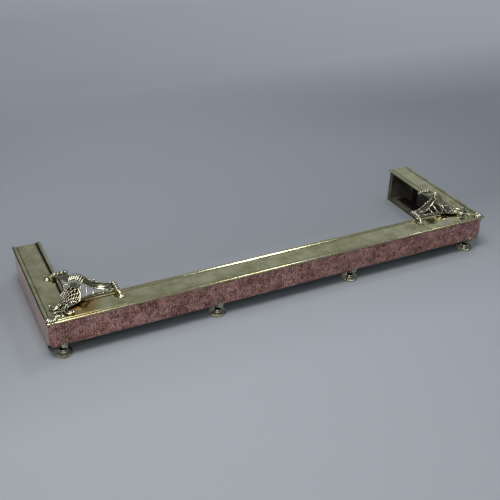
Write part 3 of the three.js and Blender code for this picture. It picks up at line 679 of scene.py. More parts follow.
def railSection():  # points as (distance from the outer edge, height), and how grimed each one is
    half, tall, top, width = rail["beadHalfWidth"], rail["beadHalfHeight"], kerb["plateTop"], kerb["width"]
    lip = kerb["setBack"] - rail["lipGap"]
    edge = [(lip, -rail["sheet"])]
    for i in range(rail["beadSteps"] + 1):
        angle = math.radians(rail["lipAngle"] * (1 - i / rail["beadSteps"]))
        edge.append((half + half * math.cos(angle), rail["beadAxis"] + tall * math.sin(angle)))
    edge.insert(1, (lip, edge[1][1]))
    edge += rail["groove"]
    start, span = rail["crownFrom"], width - 2 * rail["crownFrom"]
    middle = [(v, rail["crown"] * math.sin(math.pi * (v - start) / span))
              for v in np.linspace(rail["flatFrom"], width - rail["flatFrom"], rail["flatPoints"])]
    inner = [(width - v, h) for v, h in reversed(edge)]
    other = inner[:5] + [(width - a, h) for a, h in rail["innerBead"]] + inner[-2:]
    clean = [0.0] * (len(middle) + len(other) - len(rail["innerGrimeAndShade"]))
    return [(v, top + h) for v, h in edge + middle + other], rail["edgeGrimeAndShade"] + clean + rail["innerGrimeAndShade"]


def addRailStuds(shape, places):
    for x, y in places:
        addTurned(shape, rail["stud"], (x, y, kerb["plateTop"] - rail["sheet"]), sides=16)


def addRails():
    (section, grimedAndShaded), gap = railSection(), rail["mitreGap"]
    frontRail = newShape()
    rows = []
    for t in np.linspace(0, 1, rail["frontRows"]):
        rows.append([((v + gap - halfLength) * (1 - t) + (halfLength - v - gap) * t, front + v, z)
                     for v, z in section])
    addGrid(frontRail, rows, loop=True, ends=True, mark=grimedAndShaded * len(rows))
    addRailStuds(frontRail, [(x, front + rail["studLine"]) for x in rail["frontStuds"]])
    makePiece("brass_rail_front", toMesh("brass_rail_front", frontRail), "rolled_brass", "top_plate_front")
    sideRail = newShape()
    rows = []
    for t in np.linspace(0, 1, rail["returnRows"]):
        rows.append([(v - halfLength, front + (v + gap) * (1 - t) + kerb["depth"] * t, z)
                     for v, z in section])
    # on a return, the outer bead and the line beside the hearth-side bead are painted dark as shade
    sideGrimeAndShade = []
    for i, (grimeAndShade, (v, z)) in enumerate(zip(grimedAndShaded, section)):
        inLine = abs(v - kerb["width"] + rail["heavyShadeLine"]) < rail["heavyShadeHalf"]
        sideGrimeAndShade.append(1.0 if i < rail["returnBeadShaded"] or inLine else grimeAndShade)
    addGrid(sideRail, rows, loop=True, ends=True, mark=sideGrimeAndShade * len(rows))
    addRailStuds(sideRail, [(rail["studLine"] - halfLength, front + v) for v in rail["returnStuds"]])
    mesh = toMesh("brass_rail_left", sideRail)
    other = mirroredMesh(mesh, "brass_rail_right")
    makePiece("brass_rail_left", mesh, "rolled_brass", "top_plate_left")
    makePiece("brass_rail_right", other, "rolled_brass", "top_plate_right")


addRails()
print("brass rails made")


# copper casing: sheet hammered all over, with the marks in the metal itself
hammer = {
    "step": 1.4,  # distance between the mesh's points
    "mark": 7.2,  # width of one blow
    "landing": (0.1, 0.8),  # where in its cell a blow can land, as (from, how far)
    "flattened": 1.12,  # blows are a little wider than they are high
    "raise": 0.9,  # height of the pads between the creases
    "padShare": 0.62,
    "crease": 0.3,
    "creaseDark": 1.3,
    "creaseWidth": 2.0,
    "biteAt": 2.3,  # the crescent that a blow's edge leaves, from the blow's middle
    "biteWidth": 0.75,
    "biteTurn": 0.35,
    "columns": 512,  # blows along and up the sheet before the pattern repeats
    "rows": 64,
    "shift": 200,  # keeps the cells' numbers above zero
    "frontSeed": 0,
    "returnSeed": 7,
    "frontShare": 1.0,
    "returnShare": 0.12,  # the returns were struck lightly and rubbed smooth
    "frontShade": (100, 109, 0.5),  # painted shade under the brass: from and to this height, and how dark
    "returnShade": (93, 104, 1.0),
    "edgeEase": 4,  # blows fade out this near to an edge
    "edgeBend": 1.4,  # the lower edge turns in
    "edgeDepth": 0.7,
    "seed": 31,
}


def hammerMarks(s, z, seed):  # relief in mm and how dark the crease is, at each point of the unrolled sheet
    size, columns, rows = hammer["mark"], hammer["columns"], hammer["rows"]
    clear, spread = hammer["landing"]
    draw = np.random.RandomState(hammer["seed"] + seed)
    # five draws for a blow: its place along and up, how dark, which way it leans and how hard it bites
    table = draw.rand(columns, rows, 5)
    i, j = np.floor(s / size).astype(int), np.floor(z / size).astype(int)
    first = np.full(s.shape, 99.0)
    second = np.full(s.shape, 99.0)
    found = np.zeros(s.shape + (5,))
    angle = np.zeros(s.shape)
    for di in (-1, 0, 1):
        for dj in (-1, 0, 1):
            cell = table[(i + di) % columns, (j + dj) % rows]
            ds = s - (i + di + clear + spread * cell[..., 0]) * size
            dz = (z - (j + dj + clear + spread * cell[..., 1]) * size) * hammer["flattened"]
            far = np.hypot(ds, dz)
            near = far < first
            second = np.where(near, first, np.minimum(second, far))
            first = np.where(near, far, first)
            angle = np.where(near, np.arctan2(dz, ds), angle)
            found = np.where(near[..., None], cell, found)
    crease = np.clip(hammer["creaseDark"] - (second - first) / hammer["creaseWidth"], 0, 1)
    crease = crease * (0.5 + 0.5 * found[..., 2])
    facing = np.clip(hammer["biteTurn"] + np.cos(angle - math.tau * found[..., 3]), 0, 1)
    bite = np.exp(-((first - hammer["biteAt"]) / hammer["biteWidth"]) ** 2) * facing
    bite = bite * (0.25 + 0.75 * found[..., 4])
    mark = np.clip(np.maximum(crease, bite), 0, 1)
    mark = mark + (1 - mark) * 0.5 * np.clip(found[..., 1] * 2.2 - 1.2, 0, 1)  # some pads are dull all over
    pad = 1 - np.clip(first / (hammer["padShare"] * size), 0, 1) ** 2
    return hammer["raise"] * pad - hammer["crease"] * mark, mark


# line: plan points one step apart, inward: unit vectors into the casing, bottoms: lower edge at each point
def addHammeredWall(shape, line, inward, bottoms, seed, share, shade):
    top, sheet, bend, ease = kerb["panelTop"], kerb["copperSheet"], hammer["edgeBend"], hammer["edgeEase"]
    rowCount = int((top - bottoms.min()) / hammer["step"])
    t = np.linspace(0, 1, rowCount)
    z = bottoms[:, None] + (top - bottoms[:, None]) * t
    s = np.repeat(np.arange(len(line))[:, None] * hammer["step"], rowCount, 1)
    relief, mark = hammerMarks(s, z + hammer["shift"], seed)
    rise = z - bottoms[:, None]
    relief *= share * np.clip(rise / ease, 0, 1) * np.clip((top - z) / ease, 0, 1)
    # painted shade: the sheet darkens towards the brass above it
    low, high, dark = shade
    mark = np.maximum(mark * share, dark * np.clip((z - low) / (high - low), 0, 1))
    turn = np.minimum(np.clip(1 - rise / bend, 0, 1), 0.99)
    depth = bend * (1 - np.sqrt(1 - turn ** 2)) * hammer["edgeDepth"] - relief
    rows = []
    for i in range(len(line)):
        (x, y), (dx, dy) = line[i], inward[i]
        outer = [(x + dx * depth[i, k], y + dy * depth[i, k], z[i, k]) for k in range(rowCount)]
        x, y = line[i] + inward[i] * sheet
        rows.append(outer + [(x, y, top), (x, y, bottoms[i])])
    marks = np.hstack([mark, np.zeros((len(line), 2))]).ravel().tolist()
    start = len(shape["faces"])
    addGrid(shape, rows, loop=True, ends=True, mark=marks)
    count = rowCount + 2
    shape["sooted"] += [start + i * count + rowCount for i in range(len(line) - 1)]


casing = {
    "flangeInset": 0.8,  # of a front flange, behind the hammered face
    "flangeGap": 0.5,  # between a front flange and the bent end
    "joint": 0.3,  # between the bent end and the return's wall
    "ogee": ((34, 24), (22, 19), (12, 14)),  # down the S-curve, as (in front of the pan, height)
    "ogeeLead": 6,
    "ogeeFoot": 14,
    "flangeIn": 0.4,  # of a return's flange and of its pan, behind the hammered face
    "panIn": 0.6,
    "hem": 7,
    "foldWide": 2.6,
    "foldDeep": 1.6,
    "foldFrom": 1,
}


def frontOutline(inset):  # plan of the front panel, bent round at both ends
    side, face = halfLength - kerb["setBack"] - inset, front + kerb["setBack"] + inset
    radius = kerb["cornerRadius"] - inset
    end = front + kerb["bentEnd"]
    corner = np.linspace(math.pi, 1.5 * math.pi, 9)
    left = [(-side + radius + radius * math.cos(a), face + radius + radius * math.sin(a)) for a in corner]
    return [(-side, end)] + left + [(-x, y) for x, y in reversed(left)] + [(side, end)]


def evenly(points, step):
    given = np.array(points, float)
    reach = np.concatenate([[0], np.cumsum(np.linalg.norm(np.diff(given, axis=0), axis=1))])
    count = int(reach[-1] / step) + 1
    places = np.linspace(0, reach[-1], count)
    return np.stack([np.interp(places, reach, given[:, k]) for k in range(2)], 1)


def addCopperFront():
    shape = newShape()
    line = evenly(frontOutline(0), hammer["step"])
    heading = np.gradient(line, axis=0)
    heading /= np.linalg.norm(heading, axis=1)[:, None]
    inward = np.stack([-heading[:, 1], heading[:, 0]], 1)
    bottoms = np.full(len(line), float(kerb["frontBottom"]))
    addHammeredWall(shape, line, inward, bottoms,
                    hammer["frontSeed"], hammer["frontShare"], hammer["frontShade"])
    sheet = kerb["copperSheet"]
    inner = halfLength - kerb["setBack"] - sheet - casing["flangeGap"]
    behind = front + kerb["bentEnd"] - 1
    for width, low in ((kerb["topFlange"], kerb["panelTop"] - sheet),
                       (kerb["bottomFlange"], kerb["frontBottom"])):
        outline = frontOutline(casing["flangeInset"])
        reach = front + kerb["setBack"] + width
        if width > kerb["bentEnd"]:
            outline = [(-inner, reach), (-inner, behind)] + outline[1:-1] + [(inner, behind), (inner, reach)]
        else:
            outline[0], outline[-1] = (-inner, reach), (inner, reach)
        start = len(shape["faces"])
        addPlate(shape, outline, low, low + sheet)
        shape["sooted"] += list(range(start, len(shape["faces"])))
    mesh = toMesh("copper_front", shape)
    makePiece("copper_front", mesh, "planished_copper", "front_panel", inside="sooty_copper")
    sootFaces(mesh, shape["sooted"])


def ogeeLine():  # lower edge of a return's wall: from the raised front down to the hearth
    start, pan, bottom = kerb["bentEnd"] + casing["joint"], kerb["panStart"], kerb["frontBottom"]
    above, middle, below = ((pan - away, h) for away, h in casing["ogee"])
    lines = (((start, bottom), (start + casing["ogeeLead"], bottom), above, middle),
             (middle, below, (pan - casing["ogeeFoot"], 0), (pan, 0)))
    points = []
    for a, b, c, d in (np.array(line) for line in lines):
        for t in np.linspace(0, 1, 12):
            points.append(a * (1 - t) ** 3 + 3 * b * t * (1 - t) ** 2 + 3 * c * t ** 2 * (1 - t) + d * t ** 3)
    return np.array(points)


def addReturnCasings():
    shape = newShape()
    start, end, setBack = kerb["bentEnd"] + casing["joint"], kerb["wallEnd"], kerb["setBack"]
    side = setBack - halfLength
    line = evenly([(side, front + end), (side, front + start)], hammer["step"])
    inward = np.tile((1.0, 0.0), (len(line), 1))
    ogee = ogeeLine()
    bottoms = np.interp(line[:, 1] - front, ogee[:, 0], ogee[:, 1], right=0.0)
    addHammeredWall(shape, line, inward, bottoms,
                    hammer["returnSeed"], hammer["returnShare"], hammer["returnShade"])
    shape["rubbed"] = 1.0
    sheet, pan, top, hem = kerb["copperSheet"], kerb["panStart"], kerb["panelTop"], casing["hem"]
    inner, outer = setBack + kerb["panWidth"], setBack + casing["panIn"]
    wide, deep = casing["foldWide"], casing["foldDeep"]
    slabs = (
        ((setBack + casing["flangeIn"], start, top - sheet), (setBack + kerb["topFlange"], end, top)),
        ((outer, pan, 0), (inner, end, sheet)),  # the pan, and its hem along the hearth and at the front
        ((inner - sheet, pan, 0), (inner, end, hem)),
        ((inner - wide, pan + casing["foldFrom"], hem - deep), (inner, end, hem)),
        ((outer, pan, 0), (inner, pan + sheet, hem)),
        ((outer, pan, hem - deep), (inner, pan + wide, hem)),
    )
    for low, high in slabs:
        firstFace = len(shape["faces"])
        addSlab(shape, (low[0] - halfLength, low[1] + front, low[2]),
                (high[0] - halfLength, high[1] + front, high[2]))
        shape["sooted"] += list(range(firstFace, len(shape["faces"])))
    mesh = toMesh("copper_casing_left", shape)
    other = mirroredMesh(mesh, "copper_casing_right")
    for side, made in (("left", mesh), ("right", other)):
        makePiece("copper_casing_" + side, made, "planished_copper", side + "_panel", inside="sooty_copper")
        sootFaces(made, shape["sooted"])


addCopperFront()
addReturnCasings()
print("copper casing made")


# feet: turned and gadrooned, with a leaf lapping up over the copper
foot = {
    "gadroons": 20,
    "roundness": 0.7,
    # each pattern with where it runs, and its swell as (height, sunk below the profile)
    "rimFrom": 20.3,
    "rimSwell": (1.7, 1.3),
    "dishFrom": 11.8,
    "dishTop": 13,
    "dishSwell": (0.5, 0.3),
    "cupFrom": 8,
    "cupBase": 28,
    "cupPetals": 10,
    "cupSwell": (0.7, 0.2),
    "profile": ((0, 0), (22.6, 0), (23.8, 1.0), (24.2, 2.8), (23.6, 4.6), (22.4, 5.4), (21.2, 5.0),
                (20.6, 4.4), (20.0, 4.8), (19.6, 6.6), (18.4, 8.2), (17.2, 8.2), (16.4, 7.6), (15.8, 8.2),
                (15.2, 10.4), (13.8, 11.8), (12.6, 11.6), (12.0, 11.4), (11.6, 12.4), (10.8, 14.6),
                (9.2, 15.6), (8.0, 15.8), (7.0, 17.6), (6.6, 20), (6.9, 22), (8.6, 23.2), (9.0, 24.6),
                (8.4, 26), (7.4, 27), (7.9, 29), (9.4, 31.4), (12.2, 33.6), (14.4, 35.4), (15.4, 37.2),
                (15.2, 39.1), (0, 39.1)),
    "stud": ((0, 38.6), (3.4, 38.6), (3.4, 52), (2.8, 53), (0, 53)),
    "leaf": ((-5.5, 31), (-7.2, 35), (-8.2, 39.5), (-6.4, 43), (-5.0, 45.5), (-2.4, 48), (0, 52)),
    "leafGap": 0.3,  # between the leaf and the copper
    "leafThick": 0.6,
    "leafBow": (0.9, 1.5),
    "leafFrom": 31,
    "leafRise": 24,
    "vein": 1.0,  # the two grooves of the leaf, halfway out
    "midrib": ((3.6, 33), (3.2, 44), (1.2, 54)),  # (in front of the copper, height)
    "root": ((6, 2.2, 32), (6, 8, 38.6)),
    # even ground on the feet is darker than on the crests: painted shade for the dark that the feet reflect
    "hollows": (5, 0.8, 0.6),
}


def footFlute(r, z, angle):
    gadroon = abs(math.cos(foot["gadroons"] / 2 * angle)) ** foot["roundness"]
    if r > foot["rimFrom"]:
        return foot["rimSwell"][0] * gadroon - foot["rimSwell"][1]
    if r > foot["dishFrom"] and z < foot["dishTop"]:
        return foot["dishSwell"][0] * gadroon - foot["dishSwell"][1]
    if r > foot["cupFrom"] and z > foot["cupBase"]:
        return foot["cupSwell"][0] * abs(math.cos(foot["cupPetals"] / 2 * angle)) - foot["cupSwell"][1]
    return 0


def addFootLeaf(shape):
    face = kerb["setBack"] - kerb["footLine"] - foot["leafGap"]  # the leaf's back, seen from the foot's axis
    flat, more = foot["leafBow"]
    rows = []
    for x, z in smoothLine(foot["leaf"], 4):
        rise = math.sin(math.pi * min(1, (z - foot["leafFrom"]) / foot["leafRise"]))
        bow = flat + more * rise * (abs(x) / 10) ** 0.5
        half = max(abs(x), 0.3)
        row = []
        for k in (i / 4 for i in range(-4, 5)):
            groove = foot["vein"] if abs(k) == 0.5 else 0
            row.append((k * half, face - foot["leafThick"] - bow * (1 - k * k) + groove, z))
        rows.append(row + [(half, face, z), (0, face, z), (-half, face, z)])
    addGrid(shape, rows, loop=True, ends=True)
    addTube(shape, [(0, face - out, z) for out, z in foot["midrib"]], lambda t: 1.0 - 0.5 * t, 6)
    (half, out, low), (half, back, high) = foot["root"]
    addSlab(shape, (-half, face - out, low), (half, -back, high))


def addFeet():
    shape = newShape()
    addTurned(shape, foot["profile"], (0, 0, 0), sides=120, flute=footFlute)
    addTurned(shape, foot["stud"], (0, 0, 0), sides=16)
    addFootLeaf(shape)
    for i in range(4):
        name = "cast_foot_%d" % (i + 1)
        x = (i - 1.5) * kerb["footSpacing"]
        mesh = toMesh(name, shape, (x, front + kerb["footLine"], 0), sharp=50)
        markHollows(mesh, *foot["hollows"])
        makePiece(name, mesh, "cast_brass", "foot_%d" % (i + 1))


addFeet()
print("feet made")


# crests, drawn at the left corner as (u, v, h) and alike on both sides of the diagonal
crest = {
    "voxel": 0.7,
    "top": 55.2,
    "hollows": (10, 1.3, 0.5),
    "stud": ((0, -16), (2.2, -16), (2.6, -15.4), (2.6, 2), (0, 2)),
    "hub": (40, 40, 3.5),
    "fanEdge": ((98, 58, 8), (104, 70, 17), (104, 83, 26), (98, 98, 32), (83, 104, 26), (70, 104, 17),
                (58, 98, 8)),
    "fanRise": 1.75,
    "fanBars": 8,
    "fanTwist": 0.75,  # how far a bar slants across the fan
    "fanFrom": 0.33,
    "webBehind": (-0.9, -0.9, 2.9),
    "webThick": 1.4,
    "webFrom": 0.2,
    # where the web behind the lattice is painted black as shade
    "blackFrom": 0.36,
    "blackTo": 0.97,
    "blackReach": 1.9,
    "petals": 7,
    # one petal and the rib across them, as (distance out, spread, height, drop towards the sides)
    "petal": ((94, 6, 24, 0), (97, 10, 37, 2), (102, 12.5, 46, 4), (111, 13, 52.4, 5), (118, 10, 48.5, 5)),
    "petalRib": (98, 14, 36, 4),
    "wingNear": ((104, 96, 45), (116, 101, 37), (124, 100, 27.5), (132, 98, 21), (140, 96, 15.5),
                 (150, 93, 10.5), (160, 89, 9), (172, 83, 8.5), (184, 76, 10), (199, 68, 11)),
    "wingFar": ((116, 108, 50), (125, 107, 46), (132, 106, 39), (140, 105, 31), (150, 104, 26),
                (162, 102, 22), (175, 99, 19), (188, 99, 15), (194, 100, 13.5), (199, 100, 12)),
    "wingBalls": ((140, 106.5, 32.5), (150, 105, 29)),
    "rollAt": 199,
    "rollFrom": 62,
    "rollTo": 105,
    "rollHeight": 10.6,
    "rollRings": 4,
    "leg": (203, 50),
    "legFoot": ((0, 0.3), (8.6, 0.3), (9.5, 1.0), (9.3, 2.2), (7.4, 3.0), (6.6, 2.6), (5.2, 3.6), (3.6, 4.6),
                (0, 5.2)),
    "legLine": ((203, 50, 3), (202.5, 52.5, 5.5), (201, 58, 8.5), (199.5, 64, 10), (199, 70, 10)),
    "legCurl": ((206, 46, 2.4), (210, 44, 3.4), (212.5, 47, 4.6), (210.5, 50, 5.2), (207.5, 50, 4.2)),
    "scrollOuter": ((73, 24, 3.2), (65, 22.5, 3), (57, 26, 3.5), (53, 36, 5), (57, 46, 7.5), (66, 54.5, 9),
                    (76, 61, 7.8), (88, 66.5, 6.2), (104, 71, 6), (125, 75.5, 6), (150, 79, 6.5),
                    (199, 79, 7)),
    "scrollInner": ((73, 28, 3.2), (67, 28, 3), (62.5, 30.5, 3.5), (60.5, 37, 5), (63, 44, 7),
                    (70, 50.5, 8), (79, 56.5, 7), (90, 61.5, 5.6), (105, 66, 5.2), (126, 70.5, 5.2),
                    (150, 73.5, 6), (199, 73, 7)),
    "scrollBall": (73.5, 25.5, 3.8),
    "balusters": (((104, 69, 5.0), (112, 97, 37), 1.0),  # foot, top and thickness
                  ((121, 72, 5.0), (127, 98, 24), 0.8),
                  ((138, 75, 5.0), (142, 94.5, 15), 0.7)),
    "balusterBow": 1.5,
}


def fanPoint(edge, across, reach):  # across 0..1 along the fan's edge, reach 0 at the hub and 1 at the edge
    hub = np.array(crest["hub"], float)
    end = along(edge, across)
    point = hub + (end - hub) * reach
    point[2] = hub[2] + (end[2] - hub[2]) * reach ** crest["fanRise"]
    return point


def addCrestFan(shape):
    edge, count = smoothLine(crest["fanEdge"], 6), crest["fanBars"]
    twist, base = crest["fanTwist"], crest["fanFrom"]
    for side in (-1, 1):
        for i in range(-count, 2 * count):
            start = i / (count - 1)
            line = [(start + side * twist * (r - base), r) for r in np.linspace(base, 1, 13)]
            points = [fanPoint(edge, across, r) for across, r in line if -0.01 <= across <= 1.01]
            if len(points) > 2:
                addTube(shape, points, 1.0, 6, 2)
    for across in (0, 1):
        addTube(shape, [fanPoint(edge, across, r) for r in np.linspace(0.2, 1, 7)], 1.5, 6, 3)
    # a thin sheet behind the lattice, which markWeb paints black as shade
    rows = []
    for t in np.linspace(0, 1, 25):
        upper = [fanPoint(edge, t, r) - np.array(crest["webBehind"])
                 for r in np.linspace(crest["webFrom"], 1, 14)]
        rows.append(upper + [p - np.array((0, 0, crest["webThick"])) for p in reversed(upper)])
    addGrid(shape, rows, loop=True, ends=True)
    addTube(shape, [fanPoint(edge, t, 1.0) for t in np.linspace(0, 1, 13)], 1.9, 8, 2)


def petalPoint(place, a):  # a: -1..1 from one side of the dome to the other
    out, spread, height, drop = place
    return out + spread * a, out - spread * a, height - drop * a * a


def addCrestDome(shape):  # petals that stand up from the fan's edge and meet over the two wings
    count = crest["petals"]
    for i in range(count):
        points = [petalPoint(place, 2 * i / (count - 1) - 1) for place in crest["petal"]]
        addTube(shape, points, lambda t: 1.0 + 1.1 * math.sin(math.pi * (0.1 + 0.7 * t)), 8, 5)
        addBall(shape, points[-1], 2.0, sides=8)
    addTube(shape, [petalPoint(crest["petalRib"], a) for a in (-1, -0.5, 0, 0.5, 1)], 1.2, 6, 4)


def rollProfile():  # a row of rings between two beaded ends
    low, high, count = crest["rollFrom"], crest["rollTo"], crest["rollRings"]
    pitch = (high - low - 4) / count
    profile = [(0, low - 1.6), (2.6, low - 1.2), (3.4, low), (2.8, low + 1.2)]
    for k in range(count):
        start = low + 2 + k * pitch
        profile += [(4.6, start + 0.3), (6.4, start + pitch * 0.2), (7.3, start + pitch * 0.5),
                    (6.4, start + pitch * 0.8), (4.6, start + pitch - 0.3)]
    return profile + [(2.8, high - 1.2), (3.4, high), (2.6, high + 1.2), (0, high + 1.6)]


def legFlute(r, d, a):
    return 0.7 * abs(math.cos(4 * a)) - 0.3 if r > 5 else 0


def addCrestWing(shape):
    near, far = crest["wingNear"], crest["wingFar"]
    addBand(shape, near, far, 1.3, 1.5, 5)
    addTube(shape, near, 1.4, 8, 4)
    addTube(shape, far, 1.4, 8, 4)
    for u, v, h in crest["wingBalls"]:
        addTube(shape, [(u - 2, v - 3, h - 5), (u, v, h)], 1.4, 6, 2)
        addBall(shape, (u, v, h), 3.1)
    addTurned(shape, rollProfile(), (crest["rollAt"], 0, crest["rollHeight"]), axis="Y", sides=20)
    addTurned(shape, crest["legFoot"], (*crest["leg"], 0), sides=40, flute=legFlute)
    addTube(shape, crest["legLine"], lambda t: 2.6 + 1.0 * t, 8, 4)
    addTube(shape, crest["legCurl"], 1.5, 6, 4)


def addCrestScroll(shape):
    outer, inner = crest["scrollOuter"], crest["scrollInner"]
    addBand(shape, inner, outer, 1.2, 1.2, 5)
    addTube(shape, inner, 1.5, 8, 4)
    addTube(shape, outer, 2.5, 10, 4)
    addBall(shape, crest["scrollBall"], 3.6)


def balusterSwell(t):  # a belly in the middle and a ring near each end
    rings = (abs(t - 0.22) < 0.05) + (abs(t - 0.8) < 0.05)
    return 1.5 + 1.7 * math.sin(math.pi * t) ** 2 + 0.8 * rings


def addCrestBalusters(shape):
    for bottom, top, size in crest["balusters"]:
        low, high = np.array(bottom), np.array(top)
        points = [low + (high - low) * t + np.array((0, -crest["balusterBow"] * math.sin(math.pi * t), 0))
                  for t in (0, 0.25, 0.5, 0.75, 1)]
        addTube(shape, points, lambda t: size * balusterSwell(t), 8, 5)


leaf = {
    "centre": 40,
    "lobes": 5,
    "rings": 9,
    "sides": 100,
    "radius": (17.0, 3.6, 0.9),  # mean, swell of a lobe and of its small teeth
    "height": (2.8, 1.2, 0.5),  # of the middle, of the dome and of the veins
    "droop": 1.8,
    "underside": 0.4,
    "tipAt": 19.5,
}


def addCrestLeaf(shape):  # five-lobed leaf that the crest springs from, veined, with a small bead on each tip
    centre, lobes, rings, sides = leaf["centre"], leaf["lobes"], leaf["rings"], leaf["sides"]
    (mean, swell, teeth), (middle, dome, veins) = leaf["radius"], leaf["height"]
    rows = []
    for k in range(rings + 1):
        share = max(k, 0.02) / rings
        row = []
        for i in range(sides):
            a = math.tau * i / sides
            turned = a - math.pi / 4
            lobe = math.cos(lobes * turned + math.pi)
            radius = (mean + swell * lobe + teeth * abs(math.cos(3 * lobes * turned))) * share
            height = middle + dome * math.sin(math.pi * share) * (0.4 + 0.6 * lobe)
            height += veins * abs(math.cos(2 * lobes * turned)) * share
            row.append((centre + radius * math.cos(a), centre + radius * math.sin(a),
                        leaf["underside"] if k == rings else height - leaf["droop"] * share ** 3))
        rows.append(row)
    addGrid(shape, rows, loop=True, ends=True)
    for i in range(lobes):
        a = math.pi / 4 + math.pi / lobes + math.tau * i / lobes
        tip = (centre + leaf["tipAt"] * math.cos(a), centre + leaf["tipAt"] * math.sin(a), 2.0)
        halfway = (tip[0] * 0.5 + centre * 0.5, tip[1] * 0.5 + centre * 0.5, 4.4)
        addTube(shape, [(centre, centre, 4), halfway, tip], lambda t: 1.0 - 0.4 * t, 6, 4)
        addBall(shape, tip, 1.2, sides=8)


def markWeb(mesh):  # the sheet behind the lattice is painted black, a painted shade
    edge = smoothLine(crest["fanEdge"], 6)
    points = [fanPoint(edge, t, r) - np.array(crest["webBehind"]) for t in np.linspace(0, 1, 70)
              for r in np.linspace(crest["blackFrom"], crest["blackTo"], 40)]
    finder = kdtree.KDTree(len(points))
    for i, (u, v, h) in enumerate(points):
        finder.insert(((u - halfLength) / 1000, (front + v) / 1000, (kerb["plateTop"] + h) / 1000), i)
    finder.balance()
    for vertex, hollow in zip(mesh.vertices, mesh.attributes["hollow"].data):
        if finder.find(vertex.co)[2] < crest["blackReach"] / 1000:
            hollow.value = 1.0


def addCrests():
    half = newShape()
    addCrestWing(half)
    addCrestScroll(half)
    addCrestBalusters(half)
    whole = newShape()
    for swap in (False, True):
        base = len(whole["verts"])
        whole["verts"] += [(v, u, h) if swap else (u, v, h) for u, v, h in half["verts"]]
        whole["faces"] += [tuple(base + k for k in (reversed(face) if swap else face))
                           for face in half["faces"]]
        whole["mark"] += half["mark"]
    addCrestLeaf(whole)
    addCrestFan(whole)
    addCrestDome(whole)
    whole["verts"] = [(u, v, min(h, crest["top"])) for u, v, h in whole["verts"]]
    for u, v in ((leaf["centre"], leaf["centre"]), crest["leg"], crest["leg"][::-1]):
        addTurned(whole, crest["stud"], (u, v, 0), sides=16)
    mesh = castMesh("cast_crest_left", whole, crest["voxel"], 1, (-halfLength, front, kerb["plateTop"]))
    markHollows(mesh, *crest["hollows"])
    markWeb(mesh)
    other = mirroredMesh(mesh, "cast_crest_right")
    makePiece("cast_crest_left", mesh, "cast_brass", "crest_left")
    makePiece("cast_crest_right", other, "cast_brass", "crest_right")
    print("crest faces:", len(mesh.polygons))


addCrests()
print("crests made")


# shell caps over the mitres
shell = {
    "voxel": 0.5,
    "hollows": (8, 1.0),
    "lobes": 9,
    "from": -38,  # degrees round the hinge
    "to": 128,
    "hinge": (19, 19),
    "reach": (17.5, 3.5),  # mean, and how much longer towards the corner
    "ridge": ((0, 4.0), (0.3, 7.0), (0.62, 7.4), (0.88, 5.0), (1, 1.6)),  # (share of the reach, height)
    "lapFrom": -5,  # lobes that lap over the edge
    "lapTo": 95,
    "lapAt": 0.6,
    "lapDown": -2.2,
    "boss": ((15, 15, 2.2), 9.5, 0.52, 16),
    "button": ((20.5, 20.5, 4.4), 3.0),
    "curlFrom": 20,
    "curls": ((7, 2), (2, 7)),
    "proud": 1.9,
}


def addShellCaps():
    shape = newShape()
    hinge, (mean, longer) = shell["hinge"], shell["reach"]
    for i in range(shell["lobes"]):
        angle = math.radians(shell["from"] + (shell["to"] - shell["from"]) * i / (shell["lobes"] - 1))
        du, dv = -math.cos(angle), -math.sin(angle)
        reach = mean + longer * math.cos(2 * (angle - math.pi / 4))
        points = [(hinge[0] + du * reach * t, hinge[1] + dv * reach * t, h) for t, h in shell["ridge"]]
        addTube(shape, points, lambda t: 1.0 + 1.9 * math.sin(math.pi * (0.08 + 0.62 * t)), 8, 4)
        if shell["lapFrom"] < math.degrees(angle) < shell["lapTo"]:
            u, v, h = points[-1]
            lap = (max(u, shell["lapAt"]), max(v, shell["lapAt"]), shell["lapDown"])
            addTube(shape, [(u, v, h), lap], 1.9, 8, 3)
    addBall(shape, *shell["boss"])
    addBall(shape, *shell["button"])
    base = shell["curlFrom"]
    for du, dv in shell["curls"]:
        curl = [(base, base, 3), (base + du * 0.6, base + dv * 0.6, 4.4), (base + du, base + dv, 1.8)]
        addTube(shape, curl, 1.7, 8, 4)
    proud = shell["proud"]
    shape["verts"] = [(max(u, -proud), max(v, -proud), h) for u, v, h in shape["verts"]]
    mesh = castMesh("shell_cap_left", shape, shell["voxel"], 2, (-halfLength, front, kerb["plateTop"]))
    markHollows(mesh, *shell["hollows"])
    other = mirroredMesh(mesh, "shell_cap_right")
    makePiece("shell_cap_left", mesh, "cast_brass", "corner_cap_left")
    makePiece("shell_cap_right", other, "cast_brass", "corner_cap_right")


addShellCaps()
print("shell caps made")


# floor, room and lamps, in metres
studio = {
    "floorTo": 2.6,  # behind the fender, where the paper turns up
    "bend": 1.2,
    "bendSteps": 12,
    "wide": 14.0,
    "near": -14.0,
    "high": 5.0,
    "roomTone": "#a9b0b9",
    "roomLight": 0.2,
    "roomSeen": 0.55,
}

lamps = {  # place, aim, size, watts and colour
    "softbox_over": ((-0.75, -0.7, 2.9), (-0.2, 0, 0), (1.5, 1.3), 60, "#fffdfa"),  # the tops and the floor
    "softbox_front": ((-1.5, -2.2, 2.3), (-0.1, 0, 0), (1.8, 1.2), 15, "#fffdfa"),  # the copper front
    "spark_far": ((2.1, -0.5, 2.4), (0.6, -0.1, 0.1), (0.3, 0.3), 3, "#f2f6ff"),  # points on the right crest
    "strip_right": ((1.08, 0.35, 2.75), (0.0, -0.1, 0.1), (0.5, 0.5), 12, "#f2f6ff"),  # the glint on the bead
}


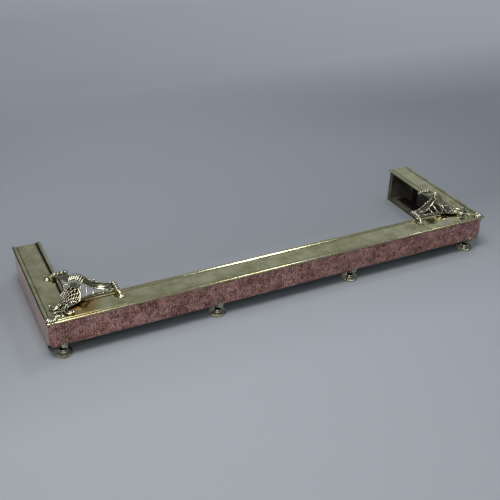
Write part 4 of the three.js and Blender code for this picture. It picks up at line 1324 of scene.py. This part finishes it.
def addFloor():
    line = [(studio["near"], 0.0), (studio["floorTo"], 0.0)]
    steps = studio["bendSteps"]
    for i in range(1, steps + 1):
        angle = math.pi / 2 * i / steps
        line.append((studio["floorTo"] + studio["bend"] * math.sin(angle),
                     studio["bend"] * (1 - math.cos(angle))))
    line.append((studio["floorTo"] + studio["bend"], studio["high"]))
    verts = [(x, y, z) for y, z in line for x in (-studio["wide"], studio["wide"])]
    faces = [(2 * i, 2 * i + 1, 2 * i + 3, 2 * i + 2) for i in range(len(line) - 1)]
    mesh = bpy.data.meshes.new("studio_paper")
    mesh.from_pydata(verts, [], faces)
    mesh.shade_smooth()
    mesh.materials.append(paperSweep())
    floor = bpy.data.objects.new("studio_paper", mesh)
    bpy.context.scene.collection.objects.link(floor)


def addLamp(name, place, aim, size, power, colour):
    data = bpy.data.lights.new(name, "AREA")
    data.shape = "RECTANGLE"
    data.size, data.size_y = size
    data.energy = power
    data.color = paint(colour)[:3]
    lamp = bpy.data.objects.new(name, data)
    bpy.context.scene.collection.objects.link(lamp)
    facing = (Vector(aim) - Vector(place)).to_track_quat("-Z", "Y").to_matrix().to_4x4()
    lamp.matrix_world = Matrix.Translation(place) @ facing


def addRoom():  # the pale room round the studio: dim as a light, plainer where a lens or bright metal sees it
    world = bpy.data.worlds.new("studio_room")
    bpy.context.scene.world = world
    world.use_nodes = True
    tree = world.node_tree
    tree.nodes.clear()
    ray = addNode(tree, "LightPath")
    seen = addNode(tree, "Math", {
        0: ray.outputs["Is Camera Ray"], 1: ray.outputs["Is Glossy Ray"]}, operation="MAXIMUM")
    strength = addNode(tree, "MapRange", {
        "Value": seen.outputs[0], "To Min": studio["roomLight"], "To Max": studio["roomSeen"]})
    room = addNode(tree, "Background", {"Color": paint(studio["roomTone"]), "Strength": strength.outputs[0]})
    addNode(tree, "OutputWorld", {"Surface": room.outputs[0]})


addFloor()
for name, values in lamps.items():
    addLamp(name, *values)
addRoom()
bpy.context.scene.view_settings.view_transform = "Standard"
print("floor and lamps placed")
